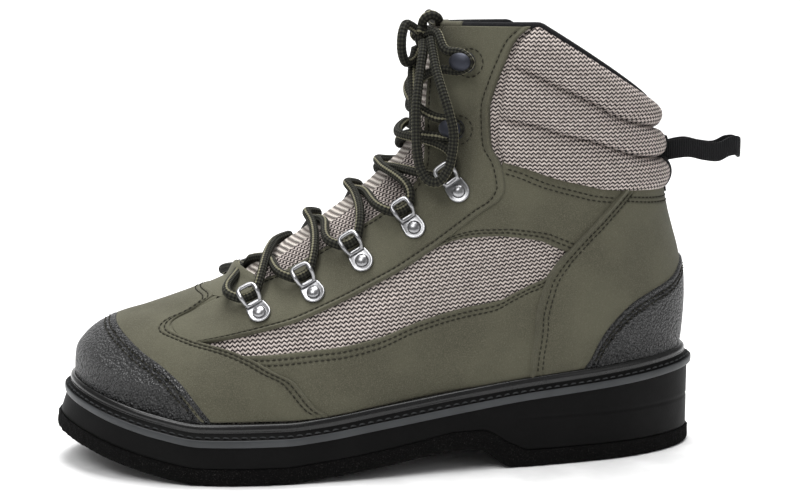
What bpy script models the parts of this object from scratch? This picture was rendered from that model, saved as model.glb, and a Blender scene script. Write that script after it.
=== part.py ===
# A left wading boot: felt outsole, midsole, welt, hollow lasted upper, overlays, tongue, hardware and lace.
# Toe towards -X, outer (little toe) side towards -Y, up +Z, metres. The origin is on the ground
# under the middle of the heel, so the heel's flat tread face lies on z = 0.
import math

import bmesh
import bpy
import numpy as np

# Driving dimensions, metres.
SOLE_LENGTH = 0.316          # tip of the toe to the back of the heel, at the welt
BALL_WIDTH = 0.116           # widest place of the sole, at the ball
BOOT_HEIGHT = 0.209          # ground to the top of the shaft's front
HEEL_BEHIND = 0.042          # back of the heel behind the origin
BALL_STACK = 0.021           # ground to the footbed seat at the ball
HEEL_STACK = 0.043           # ground to the footbed seat at the back of the heel
FELT_THICKNESS = 0.008
TOE_SPRING = 0.017           # ground to the felt at the tip of the toe
WAIST_LIFT = 0.0105          # ground to the felt under the arch
TOE_SWING = 0.006            # tip of the toe towards the inner side
TOE_LEAN = 0.005             # how far the felt's tip stands before the welt's
WELT_HEIGHT = 0.008          # the bead's crown above the seat
MIDSOLE_INSET = 0.0016       # the midsole's wall inside the lip
FELT_INSET = 0.0008
FELT_EDGE = 0.00096           # rounding of the felt's lower edge
WALL = 0.0022                # the upper's wall
GAP = 0.0003                 # between pieces that touch on the real boot
LAY = 0.0009                 # under what is laid on the curved upper
OVERLAY = 0.0013             # leather laid on the upper
CAP_THICKNESS = 0.0017       # pebbled toe cap
COUNTER_THICKNESS = 0.00136  # pebbled heel counter
FOLD_RISE = 0.0008           # raised rear edge of the eyestay
CORD_RISE = 0.0011           # the quarter's seam over its cord
INSOLE_THICKNESS = 0.005
TONGUE_THICKNESS = 0.006
TONGUE_CROWN = 0.0046        # how far the tongue swells up between the eyestays
SHAFT_CROWN = 0.0025         # the same in the shaft
VALLEY_THICKNESS = 0.0012    # the padded collar between its rolls
ROLL_RISE = 0.0032           # the rolls' crowns above that
LACE = 0.0045                # round lace
RING_WIRE = 0.0021           # wire of the D-rings
RING_WIDTH = 0.0088
RING_LENGTH = 0.0135
RIVET_RADIUS = 0.0040
RIVET_TOP_RADIUS = 0.0020
RIVET_HEIGHT = 0.0027
PLATE_RADIUS = 0.0046
PLATE_THICKNESS = 0.0009
HOOK_RADIUS = 0.0052
HOOK_HEIGHT = 0.0065
LOOP_REACH = 0.0385          # the pull loop behind the heel line
LOOP_BAND = 0.0016           # webbing of the pull loop
LOOP_WIDTH = 0.0096          # height of that webbing, which stands on edge
LOOP_SPREAD = 0.0048         # each leg of the loop from its middle line, at the widest
LOOP_WAVE = 0.002            # how far the loop waves up and down
LOOP_CLEARANCE = 0.0005      # between the collar's crown and the line that the loop starts from


def monotone(xs, ys, x):
    """Smooth curve through a table's points that never overshoots them."""
    xs, ys, x = np.asarray(xs, float), np.asarray(ys, float), np.asarray(x, float)
    step = np.diff(xs)
    slope = np.diff(ys) / step
    tangent = np.zeros_like(ys)
    tangent[0], tangent[-1] = slope[0], slope[-1]
    same = slope[:-1] * slope[1:] > 0
    mean = np.zeros(len(slope) - 1)
    mean[same] = 2 * slope[:-1][same] * slope[1:][same] / (slope[:-1][same] + slope[1:][same])
    tangent[1:-1] = mean
    i = np.clip(np.searchsorted(xs, x, side="right") - 1, 0, len(step) - 1)
    t = np.clip((x - xs[i]) / step[i], 0, 1)
    h = step[i]
    return (ys[i] * (2 * t ** 3 - 3 * t ** 2 + 1) + tangent[i] * h * (t ** 3 - 2 * t ** 2 + t)
            + ys[i + 1] * (3 * t ** 2 - 2 * t ** 3) + tangent[i + 1] * h * (t ** 3 - t ** 2))


def columns(rows):
    """A table's columns as arrays."""
    return [np.array(column, float) for column in zip(*rows)]


# Plan of the sole. Along: share of SOLE_LENGTH from the back of the heel. Outer and inner: half widths
# of the oval that touches the outline there, shares of BALL_WIDTH.
# along, outer, inner
SOLE_OVAL = (
    (0.000, 0.484, 0.484), (0.050, 0.486, 0.482), (0.100, 0.485, 0.475), (0.150, 0.475, 0.460),
    (0.230, 0.457, 0.415), (0.323, 0.450, 0.371), (0.418, 0.470, 0.352), (0.528, 0.513, 0.381),
    (0.655, 0.574, 0.453), (0.750, 0.625, 0.518), (0.845, 0.652, 0.584), (0.924, 0.668, 0.645),
    (1.000, 0.665, 0.700),
)
# Side of the sole. Spring is a share of TOE_SPRING, arch and felt_arch of WAIST_LIFT, under and over
# the felt, and lift of what the heel's seat stands above the ball's.
# along, spring, arch, felt_arch, lift
SOLE_SIDE = (
    (0.000, 0.00, 0.00, 0.00, 1.00), (0.150, 0.00, 0.00, 0.00, 0.82), (0.290, 0.00, 0.00, 0.00, 0.66),
    (0.316, 0.00, 0.00, 0.30, 0.62), (0.367, 0.00, 0.90, 1.10, 0.53), (0.402, 0.00, 1.00, 1.10, 0.47),
    (0.465, 0.00, 0.77, 0.80, 0.35), (0.528, 0.00, 0.48, 0.48, 0.23), (0.608, 0.00, 0.17, 0.17, 0.07),
    (0.665, 0.00, 0.00, 0.00, 0.00), (0.782, 0.00, 0.00, 0.00, 0.00), (0.845, 0.18, 0.00, 0.00, 0.00),
    (0.908, 0.46, 0.00, 0.00, 0.00), (0.956, 0.73, 0.00, 0.00, 0.00), (1.000, 1.00, 0.00, 0.00, 0.00),
)
# Rings of the last, from the seat to the top line. Front and back: where the ring meets the ridge and
# the back line, along as above, and rise above the seat there, a share of the shaft's rise above the
# heel's seat. Hold: share of the ring that keeps the front's height. The rest are half widths, shares
# of BALL_WIDTH, and the inner side's share of them.
# front, front_rise, back, back_rise, hold, nose, toe, ball, waist, heel, rear, inner
LAST = (
    (0.960, 0.0041, 0.028, 0.0048, 0.00, 0.640, 0.596, 0.500, 0.392, 0.395, 0.440, 0.80),
    (0.961, 0.0664, 0.028, 0.0476, 0.00, 0.648, 0.602, 0.506, 0.398, 0.405, 0.450, 0.80),
    (0.959, 0.1142, 0.026, 0.0851, 0.00, 0.640, 0.602, 0.510, 0.404, 0.418, 0.458, 0.81),
    (0.943, 0.1679, 0.024, 0.1364, 0.00, 0.582, 0.574, 0.498, 0.400, 0.426, 0.460, 0.83),
    (0.909, 0.2288, 0.023, 0.1903, 0.00, 0.486, 0.530, 0.478, 0.391, 0.430, 0.455, 0.86),
    (0.852, 0.2906, 0.024, 0.2446, 0.00, 0.428, 0.490, 0.446, 0.376, 0.425, 0.446, 0.89),
    (0.785, 0.3506, 0.027, 0.2904, 0.00, 0.402, 0.446, 0.412, 0.360, 0.412, 0.434, 0.92),
    (0.709, 0.4124, 0.033, 0.3430, 0.00, 0.372, 0.398, 0.378, 0.348, 0.398, 0.415, 0.95),
    (0.633, 0.4953, 0.042, 0.4024, 0.00, 0.338, 0.358, 0.348, 0.338, 0.380, 0.395, 0.97),
    (0.563, 0.5679, 0.050, 0.4565, 0.00, 0.308, 0.328, 0.330, 0.330, 0.362, 0.376, 0.98),
    (0.506, 0.6356, 0.056, 0.5104, 0.02, 0.288, 0.312, 0.320, 0.324, 0.346, 0.356, 0.99),
    (0.466, 0.7087, 0.062, 0.5655, 0.08, 0.278, 0.304, 0.316, 0.320, 0.335, 0.342, 1.00),
    (0.443, 0.8061, 0.067, 0.6267, 0.18, 0.278, 0.302, 0.316, 0.320, 0.328, 0.332, 1.00),
    (0.427, 0.9455, 0.074, 0.7046, 0.32, 0.283, 0.306, 0.320, 0.323, 0.326, 0.328, 1.00),
    (0.413, 1.0754, 0.081, 0.7863, 0.42, 0.288, 0.313, 0.326, 0.328, 0.328, 0.328, 1.00),
)
RING_STATIONS = (0.0, 0.15, 0.35, 0.60, 0.85, 1.0)   # where the six half widths are, front to back
TOP_ROW = len(LAST) - 1
FEATHER_ROW = 1
SHAFT_ROWS = (5.0, 11.0)     # rows over which a ring turns from the seat's curve to a level one


def along_of(x):
    """Share of the sole's length from the back of the heel."""
    return (HEEL_BEHIND - np.asarray(x, float)) / SOLE_LENGTH


def x_of(along):
    """Place of such a share."""
    return HEEL_BEHIND - np.asarray(along, float) * SOLE_LENGTH


def sole_heights(x):
    """Heights of the felt's under side, the felt's upper side and the seat above the ground."""
    along, spring, arch, felt_arch, lift = columns(SOLE_SIDE)
    a = along_of(x)
    toe = TOE_SPRING * monotone(along, spring, a)
    under = toe + WAIST_LIFT * monotone(along, arch, a)
    over = toe + WAIST_LIFT * monotone(along, felt_arch, a) + FELT_THICKNESS
    seat = BALL_STACK + (HEEL_STACK - BALL_STACK) * monotone(along, lift, a) + toe
    return under, over, seat


def seat_height(x):
    """Height of the footbed seat, level with its ends beyond them."""
    return sole_heights(x)[2]


def last_row(v):
    """The last's columns read at a row number between rows."""
    rows = np.arange(len(LAST))
    return [monotone(rows, column, v) for column in columns(LAST)]


def last_point(v, turn):
    """A point of the last's skin. Turn runs 0 at the ridge, over the outer side, pi at the back line."""
    v, turn = np.broadcast_arrays(np.asarray(v, float), np.asarray(turn, float))
    (front, front_rise, back, back_rise, hold, *widths, inner) = last_row(v)
    share = (1 - np.cos(turn)) / 2
    x = x_of(front) + (x_of(back) - x_of(front)) * share
    half = np.zeros_like(x)
    for k in range(len(RING_STATIONS)):
        unit = np.eye(len(RING_STATIONS))[k]
        half = half + widths[k] * monotone(RING_STATIONS, unit, share)
    side = np.sin(turn)
    tuck = np.where(side < 0, 1 - (1 - inner) * np.sin(math.pi * share) ** 0.5, 1.0)
    swing = TOE_SWING * (1 - share) ** 2
    y = swing - side * half * tuck * BALL_WIDTH
    rim = np.clip(1 - v, 0, 1)
    rise_front = front_rise * (BOOT_HEIGHT - HEEL_STACK) * (1 - rim) + LAY * rim
    rise_back = back_rise * (BOOT_HEIGHT - HEEL_STACK) * (1 - rim) + LAY * rim
    fall = np.clip((share - hold) / (1 - hold), 0, 1)
    lasted = seat_height(x) + rise_front + (rise_back - rise_front) * fall
    top = seat_height(x_of(front)) + rise_front
    straight = top + (seat_height(x_of(back)) + rise_back - top) * fall
    shaft = np.clip((v - SHAFT_ROWS[0]) / (SHAFT_ROWS[1] - SHAFT_ROWS[0]), 0, 1)
    z = lasted + (straight - lasted) * shaft
    return np.stack([x, y, z], axis=-1)


def last_skin(v, turn, offset):
    """Points of the skin moved outward by offset along its normals."""
    v, turn = np.broadcast_arrays(np.asarray(v, float), np.asarray(turn, float))
    dv, dt = 0.02, 0.01
    low, high = np.clip(v - dv, 0, TOP_ROW), np.clip(v + dv, 0, TOP_ROW)
    up = last_point(high, turn) - last_point(low, turn)
    round_ = last_point(v, turn + dt) - last_point(v, turn - dt)
    normal = np.cross(round_, up)
    normal /= np.linalg.norm(normal, axis=-1, keepdims=True)
    offset = np.broadcast_to(np.asarray(offset, float), v.shape)
    return last_point(v, turn) + normal * offset[..., None]


# Edges on the upper, as row of the last and turn from the ridge, a share of half a ring.
# row, turn
CAP_EDGE = (
    (0.90, 0.303), (1.38, 0.294), (2.12, 0.280), (2.82, 0.250), (3.22, 0.217), (3.42, 0.186),
    (3.71, 0.138), (3.95, 0.085), (4.13, 0.035), (4.20, 0.000),
)
VAMP_SEAM = (
    (0.78, 0.430), (1.24, 0.420), (2.24, 0.404), (3.02, 0.382), (3.36, 0.360), (3.85, 0.325),
    (4.21, 0.283), (4.45, 0.220), (4.55, 0.174), (4.80, 0.148), (5.20, 0.134), (5.60, 0.130),
    (6.00, 0.122), (6.20, 0.085), (6.27, 0.000),
)
# Window in the upper's side where the mesh shows, and the ankle panel over it.
# turn, window_foot, window_head
SIDE_ROWS = (
    (0.328, 4.11, 8.36), (0.366, 4.23, 8.35), (0.411, 4.27, 8.32), (0.452, 4.43, 8.30), (0.487, 4.89, 8.27),
    (0.532, 5.19, 8.15), (0.573, 5.33, 7.97), (0.589, 5.71, 7.82), (0.605, 6.10, 7.69), (0.617, 6.35, 7.56),
    (0.627, 7.40, 7.47),
)
# Foot of the padded collar.
# turn, row
COLLAR_FOOT = (
    (0.388, 11.14), (0.446, 11.02), (0.519, 10.72), (0.560, 10.58), (0.595, 10.48), (0.653, 10.31),
    (0.719, 10.27), (0.910, 10.24), (1.000, 10.24),
)
# Front and rear edges of the eyestay and shaft panel.
# row, front, rear
EYESTAY = (
    (4.62, 0.196, 0.258), (4.85, 0.172, 0.276), (5.15, 0.158, 0.302), (5.60, 0.150, 0.330),
    (6.20, 0.144, 0.352), (6.80, 0.152, 0.370), (7.40, 0.170, 0.390), (8.00, 0.190, 0.403),
    (8.60, 0.206, 0.412), (9.20, 0.218, 0.422), (9.70, 0.222, 0.436), (10.10, 0.215, 0.432),
    (10.50, 0.202, 0.417), (11.10, 0.172, 0.386), (11.50, 0.150, 0.356), (12.00, 0.120, 0.340),
    (12.36, 0.103, 0.333), (12.80, 0.088, 0.346), (13.20, 0.080, 0.360), (13.64, 0.084, 0.381),
    (13.95, 0.105, 0.420),
)
# Front edge of the heel quarter, where its seam is raised over a cord.
# row, turn
QUARTER_SEAM = (
    (0.96, 0.643), (3.08, 0.640), (4.43, 0.630), (5.37, 0.623), (6.35, 0.616), (6.97, 0.618),
    (7.83, 0.633), (8.51, 0.649), (9.37, 0.672), (10.23, 0.703),
)
# Front edge of the heel counter.
# row, turn
COUNTER_EDGE = (
    (0.84, 0.713), (1.56, 0.721), (2.80, 0.732), (3.71, 0.748), (4.51, 0.777), (4.99, 0.818),
    (5.47, 0.872), (6.15, 0.912), (6.45, 0.940),
)
# Front edge of the padded collar.
# row, turn
COLLAR_FRONT = (
    (10.70, 0.412), (11.14, 0.396), (11.66, 0.370), (12.14, 0.362), (12.54, 0.364), (13.06, 0.374),
    (13.58, 0.392), (13.95, 0.434),
)
COLLAR_ROLLS = (12.02, 12.97, 13.93)     # rows of the two valleys between the rolls, and of the top
THROAT_ROW = 6.4
TAB_HALF_TURN = 0.085
# Rivets of the D-rings and hooks on the outer side; the inner side mirrors them.
# row, turn
RING_PLACES = ((5.65, 0.255), (6.49, 0.289), (7.51, 0.303), (8.59, 0.328), (9.95, 0.340))
HOOK_PLACES = ((11.78, 0.258), (13.16, 0.256))
RING_TOWARDS = (-0.42, 0.62, 0.66)   # the rings lie towards the ridge and a little to the toe
HOOK_TOWARDS = (-0.85, 0.50, 0.10)
RING_LIFT = 0.30             # slope of the rings off the eyestay, radians
SHELL_ROWS = (0.0, 1.0, 2.0, 3.0, 3.8, 4.6, 5.5, 6.4, 6.55, 7.0, 7.9, 8.8, 9.7, 10.6, 11.7, 12.8, 14.0)
SHELL_COLUMNS = 32
LACE_SIDES = 5
PANEL_LACE_ROWS = (11.2, 11.6)           # rows over which the lace climbs from the tongue to the panels
STRAND_TRIM = 0.16           # share of a crossing's strand that is left off at each end
STRAND_POINTS = 6
CROSSING_RISE = 0.45         # share of LACE that the upper strand is laid higher by


def read(table, column, key):
    """A column of a table of edges, read smoothly between its rows."""
    parts = columns(table)
    return monotone(parts[0], parts[column], key)


# Collections, materials and mesh helpers.
def clear_scene():
    """Remove what the file holds."""
    for old in list(bpy.data.objects):
        bpy.data.objects.remove(old, do_unlink=True)
    for block in (bpy.data.meshes, bpy.data.curves, bpy.data.materials):
        for item in list(block):
            block.remove(item)


def make_collection(name):
    """A collection linked to the scene."""
    group = bpy.data.collections.new(name)
    bpy.context.scene.collection.children.link(group)
    return group


COLOURS = {
    "olive": ((0.130, 0.122, 0.085), 0.85, 0.0),
    "mesh": ((0.560, 0.500, 0.440), 0.90, 0.0),
    "pebbled": ((0.018, 0.019, 0.022), 0.55, 0.0),
    "rubber": ((0.012, 0.012, 0.013), 0.50, 0.0),
    "lip": ((0.060, 0.064, 0.070), 0.60, 0.0),
    "felt": ((0.010, 0.010, 0.010), 1.00, 0.0),
    "lining": ((0.012, 0.012, 0.013), 0.95, 0.0),
    "chrome": ((0.700, 0.700, 0.720), 0.20, 1.0),
    "gunmetal": ((0.110, 0.120, 0.160), 0.40, 0.9),
    "lace": ((0.060, 0.060, 0.042), 0.90, 0.0),
    "webbing": ((0.010, 0.010, 0.012), 0.80, 0.0),
}


def material_for(node, colour):
    """The node's own Principled material."""
    base, roughness, metallic = COLOURS[colour]
    material = bpy.data.materials.new(node + "_finish")
    material.use_nodes = True
    shader = material.node_tree.nodes["Principled BSDF"]
    shader.inputs["Base Color"].default_value = (*base, 1.0)
    shader.inputs["Roughness"].default_value = roughness
    shader.inputs["Metallic"].default_value = metallic
    return material


def add_object(name, bm, colour, group):
    """A named object from a bmesh, closed and facing out."""
    bmesh.ops.remove_doubles(bm, verts=bm.verts, dist=0.000002)
    bmesh.ops.recalc_face_normals(bm, faces=bm.faces)
    mesh = bpy.data.meshes.new(name)
    bm.to_mesh(mesh)
    bm.free()
    mesh.materials.append(material_for(name, colour))
    mesh.shade_smooth()
    mesh.set_sharp_from_angle(angle=math.radians(35))
    thing = bpy.data.objects.new(name, mesh)
    group.objects.link(thing)
    return thing


def quads(bm, grid, wrap=False):
    """Faces over a grid of vertices, joined round its second direction where wrap is set."""
    rows, count = len(grid), len(grid[0])
    for i in range(rows - 1):
        for j in range(count if wrap else count - 1):
            k = (j + 1) % count
            bm.faces.new((grid[i][j], grid[i + 1][j], grid[i + 1][k], grid[i][k]))


def vertex_grid(bm, points):
    """Vertices for a grid of points."""
    return [[bm.verts.new(point) for point in row] for row in points.tolist()]


def sheet_solid(name, outer, inner, colour, group):
    """A closed solid between two grids of points of the same size."""
    bm = bmesh.new()
    top, low = vertex_grid(bm, outer), vertex_grid(bm, inner)
    quads(bm, top)
    quads(bm, low)
    for line in ((top[0], low[0]), (top[-1], low[-1])):
        quads(bm, line)
    for end in (0, -1):
        quads(bm, ([row[end] for row in top], [row[end] for row in low]))
    return add_object(name, bm, colour, group)


def ring_solid(name, rings, colour, group):
    """A closed solid through rings of points, capped with strips across from one side to the other."""
    bm = bmesh.new()
    grid = vertex_grid(bm, rings)
    quads(bm, grid, wrap=True)
    count = len(grid[0])
    for ring in (grid[0], grid[-1]):
        for j in range(1, count // 2):
            far = count - j
            if j == 1:
                bm.faces.new((ring[0], ring[1], ring[far]))
            else:
                bm.faces.new((ring[j - 1], ring[j], ring[far], ring[far + 1]))
        bm.faces.new((ring[count // 2 - 1], ring[count // 2], ring[count // 2 + 1]))
    return add_object(name, bm, colour, group)


# Sole.
SOLE_POINTS = 46
INSOLE_POINTS = 40
INSOLE_ROW = 0.35            # row of the last that the footbed's plan follows
LEAN_START = 0.8             # share of the length from which the toe leans
FELT_LEVELS = (0.0, 0.05, 0.2)           # share of the toe's lean at each ring of the felt, upwards
# Section of the midsole's wall. Inset: share of MIDSOLE_INSET. Level: share of the toe's lean.
# Height: share of the way from the felt to the seat. Drop: gaps below that.
# inset, level, height, drop
MIDSOLE_SECTION = (
    (0.7, 0.2, 0.0, 0.0), (1.0, 0.6, 0.5, 0.0), (1.0, 0.95, 1.0, 1.0), (1.0, 1.0, 1.0, 0.0),
)


def sole_turns():
    """Angles round the sole's outline: the heel's back at 0, over the outer side, the toe at pi."""
    return np.linspace(0, 2 * math.pi, SOLE_POINTS, endpoint=False)


def sole_outline(turn, inset, level):
    """Plan points of the sole moved in by inset. Level 1 is the welt, 0 the ground at the toe's lean."""
    def point(angle):
        along = (1 - np.cos(angle)) / 2
        outer = read(SOLE_OVAL, 1, along)
        inner = read(SOLE_OVAL, 2, along)
        side = np.sin(angle)
        half = np.where(side > 0, outer, inner) * BALL_WIDTH
        toe = np.clip((along - LEAN_START) / (1 - LEAN_START), 0, 1) ** 2
        x = x_of(along) + TOE_LEAN * level * toe
        return np.stack([x, TOE_SWING * along ** 2 - side * half], axis=-1)

    step = 0.004
    ahead = point(turn + step) - point(turn - step)
    ahead /= np.linalg.norm(ahead, axis=-1, keepdims=True)
    outward = np.stack([-ahead[:, 1], ahead[:, 0]], axis=-1)
    middle = np.array([[x_of(0.5), 0.0]])
    turned = np.sign(np.sum(outward * (point(turn) - middle), axis=-1, keepdims=True))
    return point(turn) - outward * turned * inset


def sole_ring(inset, level, height):
    """One ring of a sole layer: height is a function of the plan points' x."""
    plan = sole_outline(sole_turns(), inset, level)
    return np.column_stack([plan, height(plan[:, 0])])


def make_outsole(group):
    """Felt outsole, in one piece from the toe over the waist and the heel's breast to the back."""
    def under(x):
        return sole_heights(x)[0]

    def over(x):
        return sole_heights(x)[1]

    low, lower, top = FELT_LEVELS
    rings = [
        sole_ring(FELT_INSET + FELT_EDGE, low, under),
        sole_ring(FELT_INSET, lower, lambda x: under(x) + FELT_EDGE),
        sole_ring(FELT_INSET, top, over),
    ]
    return ring_solid("outsole_felt", np.array(rings), "felt", group)


def make_midsole(group):
    """Midsole with its heel block and its flat seat."""
    rings = []
    for inset, level, height, drop in MIDSOLE_SECTION:
        plan = sole_outline(sole_turns(), MIDSOLE_INSET * inset, level)
        _, felt, seat = sole_heights(plan[:, 0])
        z = felt + GAP + (seat - felt - GAP) * height - GAP * drop
        rings.append(np.column_stack([plan, z]))
    return ring_solid("midsole", np.array(rings), "rubber", group)


# Section of the welt. Across: share of the way from the upper to the lip's edge. Height: share of
# WELT_HEIGHT. It runs from the foot of the inner face, under the lip, round it, along the stitched
# groove and over the bead.
# across, height
WELT_SECTION = (
    (0.00, 0.07), (0.98, 0.07), (1.02, 0.26), (0.94, 0.44), (0.64, 0.42), (0.50, 0.34),
    (0.42, 0.76), (0.22, 0.98), (0.00, 0.92),
)


def welt_point(turn, across, height):
    """A point of the welt: across runs from the upper's feather edge to the lip, along the outline."""
    feather = last_skin(np.full_like(turn, FEATHER_ROW), math.pi - turn, 2 * GAP)
    lip = sole_outline(turn, 0.0, 1.0)
    plan = feather[:, :2] * (1 - across) + lip * across
    z = seat_height(plan[:, 0]) + WELT_HEIGHT * height
    return np.column_stack([plan, z])


def make_welt(group):
    """Welt all round: shiny bead against the upper, stitched groove and flat grey lip."""
    turn = sole_turns()
    bm = bmesh.new()
    rings = np.array([welt_point(turn, across, height) for across, height in WELT_SECTION])
    grid = vertex_grid(bm, rings)
    grid.append(grid[0])
    quads(bm, grid, wrap=True)
    return add_object("welt", bm, "lip", group)


def make_insole(group):
    """Removable footbed inside the upper."""
    turn = np.linspace(0, 2 * math.pi, INSOLE_POINTS, endpoint=False)
    base = last_skin(np.full_like(turn, INSOLE_ROW), turn, -(WALL + 2 * GAP))
    low = np.column_stack([base[:, :2], seat_height(base[:, 0]) + LAY])
    top = np.column_stack([base[:, :2], seat_height(base[:, 0]) + LAY + INSOLE_THICKNESS])
    return ring_solid("insole", np.array([low, top]), "lining", group)


# Upper.
THROAT_ROUNDING = 0.45       # rows over which the slit opens behind its front
THROAT_LAP = 0.97            # the slit's edge, a share of the eyestay's front edge
PANEL_FOOT_ROW = 1.06        # where the panels start above the feather edge
SEAM_POINTS = 11
RING_WEIGHT = 18.0           # rows that are as long as half a ring
CAP_ROWS = (1.06, 1.8, 2.5, 3.1, 3.55, 3.9, 4.15)
CAP_COLUMNS = 19
VAMP_LAP = 0.05              # gap to the toe cap's edge, a share of the vamp
VAMP_ROWS = 6
# Turns over which the band under the window and the ankle panel run, at their feet and heads.
BAND_FOOT = (0.462, 0.630)
BAND_HEAD = (0.345, 0.605)
BAND_COLUMNS = 13
BAND_ROWS = 6
ANKLE_FOOT = (0.432, 0.618)
ANKLE_HEAD = (0.450, 0.690)
ANKLE_COLUMNS = 9
ANKLE_ROWS = 5
ANKLE_CLEAR = 0.14           # rows between the ankle panel and the collar's foot
EYESTAY_ROWS = (4.72, 4.95, 5.3, 5.9, 6.6, 7.4, 8.2, 9.0, 9.7, 10.3, 10.9, 11.5, 12.2, 12.9, 13.5, 13.93)
EYESTAY_COLUMNS = 7
FOLD_SHARE = 0.10            # share of the eyestay's width that its fold takes
QUARTER_ROWS = (1.06, 2.2, 3.3, 4.4, 5.5, 6.6, 7.7, 8.8, 9.98)
QUARTER_EDGE = (0.0, 0.03, 0.07)         # shares of the way round, close by the cord
QUARTER_MIDDLE = (0.13, 0.87, 11)
CORD_PLACE = 0.02
CORD_SPREAD = 0.022
COUNTER_ROWS = (1.10, 2.0, 2.9, 3.8, 4.6, 5.4, 6.35)
COUNTER_COLUMNS = 16
COLLAR_COLUMNS = 17
COLLAR_CORNER = 10.9         # row of the collar's lower front corner
ROLL_SHARES = (0.0, 0.25, 0.5, 0.75)
ROLL_FULLNESS = 0.6          # the lower, the flatter the rolls' crowns
ROLL_TAPER = 0.14            # share of a side over which the rolls die out at the front
TONGUE_ROWS = (5.8, 6.3, 6.8, 7.3, 7.9, 8.5, 9.1, 9.7, 10.3, 10.9, 11.6, 12.4, 13.2, 13.97)
TONGUE_COLUMNS = 11
TONGUE_LEAST = 0.06          # least half turn of the throat that the tongue reckons with
TONGUE_LAP = 0.055           # half turn that the tongue reaches beyond the throat
TONGUE_FLARE = 0.02          # what it widens by up the shaft
TONGUE_THINNING = 0.55       # share of its thickness that it loses at its edges
CROWN_SHARE = 0.86           # share of the throat that the crown fills
CROWN_ROWS = (6.7, 7.3)      # rows over which the crown rises
SHAFT_CROWN_ROWS = (10.4, 11.4)          # rows over which it falls to the shaft's crown
TAB_ROWS = (6.32, 6.45, 6.6, 6.75, 6.88)
TAB_COLUMNS = 7


def throat_turn(v):
    """Half turn of the throat's slit at a row, nought below its front."""
    front = read(EYESTAY, 1, np.clip(v, THROAT_ROW, None))
    opening = np.clip((np.asarray(v, float) - THROAT_ROW) / THROAT_ROUNDING, 0, 1) ** 0.5
    return front * opening * THROAT_LAP


def make_upper(group):
    """The hollow lasted upper: open underneath, at the throat and at the collar."""
    rows = np.array(SHELL_ROWS)
    slit = throat_turn(rows) * math.pi
    across = np.linspace(0, 1, SHELL_COLUMNS + 1)
    turn = slit[:, None] + (2 * math.pi - 2 * slit[:, None]) * across[None, :]
    v = np.repeat(rows[:, None], SHELL_COLUMNS + 1, axis=1)
    outer = last_skin(v, turn, 0.0)
    inner = last_skin(v, turn, -WALL)
    inner[0, :, 2] = outer[0, :, 2]
    bm = bmesh.new()
    out, inn = vertex_grid(bm, outer), vertex_grid(bm, inner)
    quads(bm, out)
    quads(bm, inn)
    for end in (0, -1):
        quads(bm, (out[end], inn[end]))
    first = SHELL_ROWS.index(THROAT_ROW)
    for side in (0, -1):
        quads(bm, ([row[side] for row in out[first:]], [row[side] for row in inn[first:]]))
    return add_object("upper", bm, "mesh", group)


def patch(name, v, turn, low, high, colour, group):
    """A piece laid on the upper: a grid of rows and turns, between two offsets from the last."""
    turn = turn * math.pi
    outer = last_skin(v, turn, high)
    inner = last_skin(v, turn, low)
    return sheet_solid(name, outer, inner, colour, group)


def between(first, second, count):
    """Grids of row and turn between two curves that hold (row, turn) pairs of the same number."""
    mix = np.linspace(0, 1, count)[:, None, None]
    grid = np.asarray(first)[None] * (1 - mix) + np.asarray(second)[None] * mix
    return grid[..., 0], grid[..., 1]


def both_sides(table):
    """An edge carried over the ridge to the other side, from the outer feather to the inner one."""
    points = np.array(table)
    mirrored = points[-2::-1] * np.array([1, -1])
    return np.vstack([points, mirrored])


def resample(table, count):
    """Evenly spaced points along an edge's (row, turn) table, turns weighted as rows of equal length."""
    points = np.array(table, float)
    weight = np.array([1.0, RING_WEIGHT])
    run = np.concatenate([[0], np.cumsum(np.linalg.norm(np.diff(points * weight, axis=0), axis=1))])
    at = np.linspace(0, run[-1], count)
    return np.column_stack([monotone(run, points[:, 0], at), monotone(run, points[:, 1], at)])


def make_toe_cap(group):
    """Pebbled toe cap, from the feather edge up over the toe to its curved rear edge."""
    rows = np.array(CAP_ROWS)
    edge = np.interp(rows, *columns(CAP_EDGE))
    across = np.linspace(-1, 1, CAP_COLUMNS)
    turn = edge[:, None] * across[None, :]
    v = np.repeat(rows[:, None], len(across), axis=1)
    return patch("toe_cap", v, turn, LAY, LAY + CAP_THICKNESS, "pebbled", group)


def make_vamp(group):
    """Vamp panel over the forefoot, from behind the toe cap to its seam and the throat's front."""
    cap = both_sides(resample(CAP_EDGE, SEAM_POINTS))
    seam = both_sides(resample(VAMP_SEAM, SEAM_POINTS))
    front = cap + (seam - cap) * VAMP_LAP
    front[[0, -1], 0] = PANEL_FOOT_ROW
    seam[[0, -1], 0] = PANEL_FOOT_ROW
    v, turn = between(front, seam, VAMP_ROWS)
    return patch("vamp", v, turn, LAY, LAY + OVERLAY, "olive", group)


def make_side_bands(group, side, name):
    """Olive band under the mesh window, and the ankle panel over it, on one side."""
    low_turn = np.linspace(*BAND_FOOT, BAND_COLUMNS)
    top_turn = np.linspace(*BAND_HEAD, BAND_COLUMNS)
    foot = np.column_stack([np.full_like(low_turn, PANEL_FOOT_ROW), low_turn])
    head = np.column_stack([read(SIDE_ROWS, 1, top_turn), top_turn])
    v, turn = between(foot, head, BAND_ROWS)
    patch("side_band_" + name, v, turn * side, LAY, LAY + OVERLAY, "olive", group)
    low_turn = np.linspace(*ANKLE_FOOT, ANKLE_COLUMNS)
    top_turn = np.linspace(*ANKLE_HEAD, ANKLE_COLUMNS)
    foot = np.column_stack([read(SIDE_ROWS, 2, low_turn), low_turn])
    head = np.column_stack([read(COLLAR_FOOT, 1, top_turn) - ANKLE_CLEAR, top_turn])
    v, turn = between(foot, head, ANKLE_ROWS)
    patch("ankle_panel_" + name, v, turn * side, LAY, LAY + OVERLAY, "olive", group)


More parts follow.
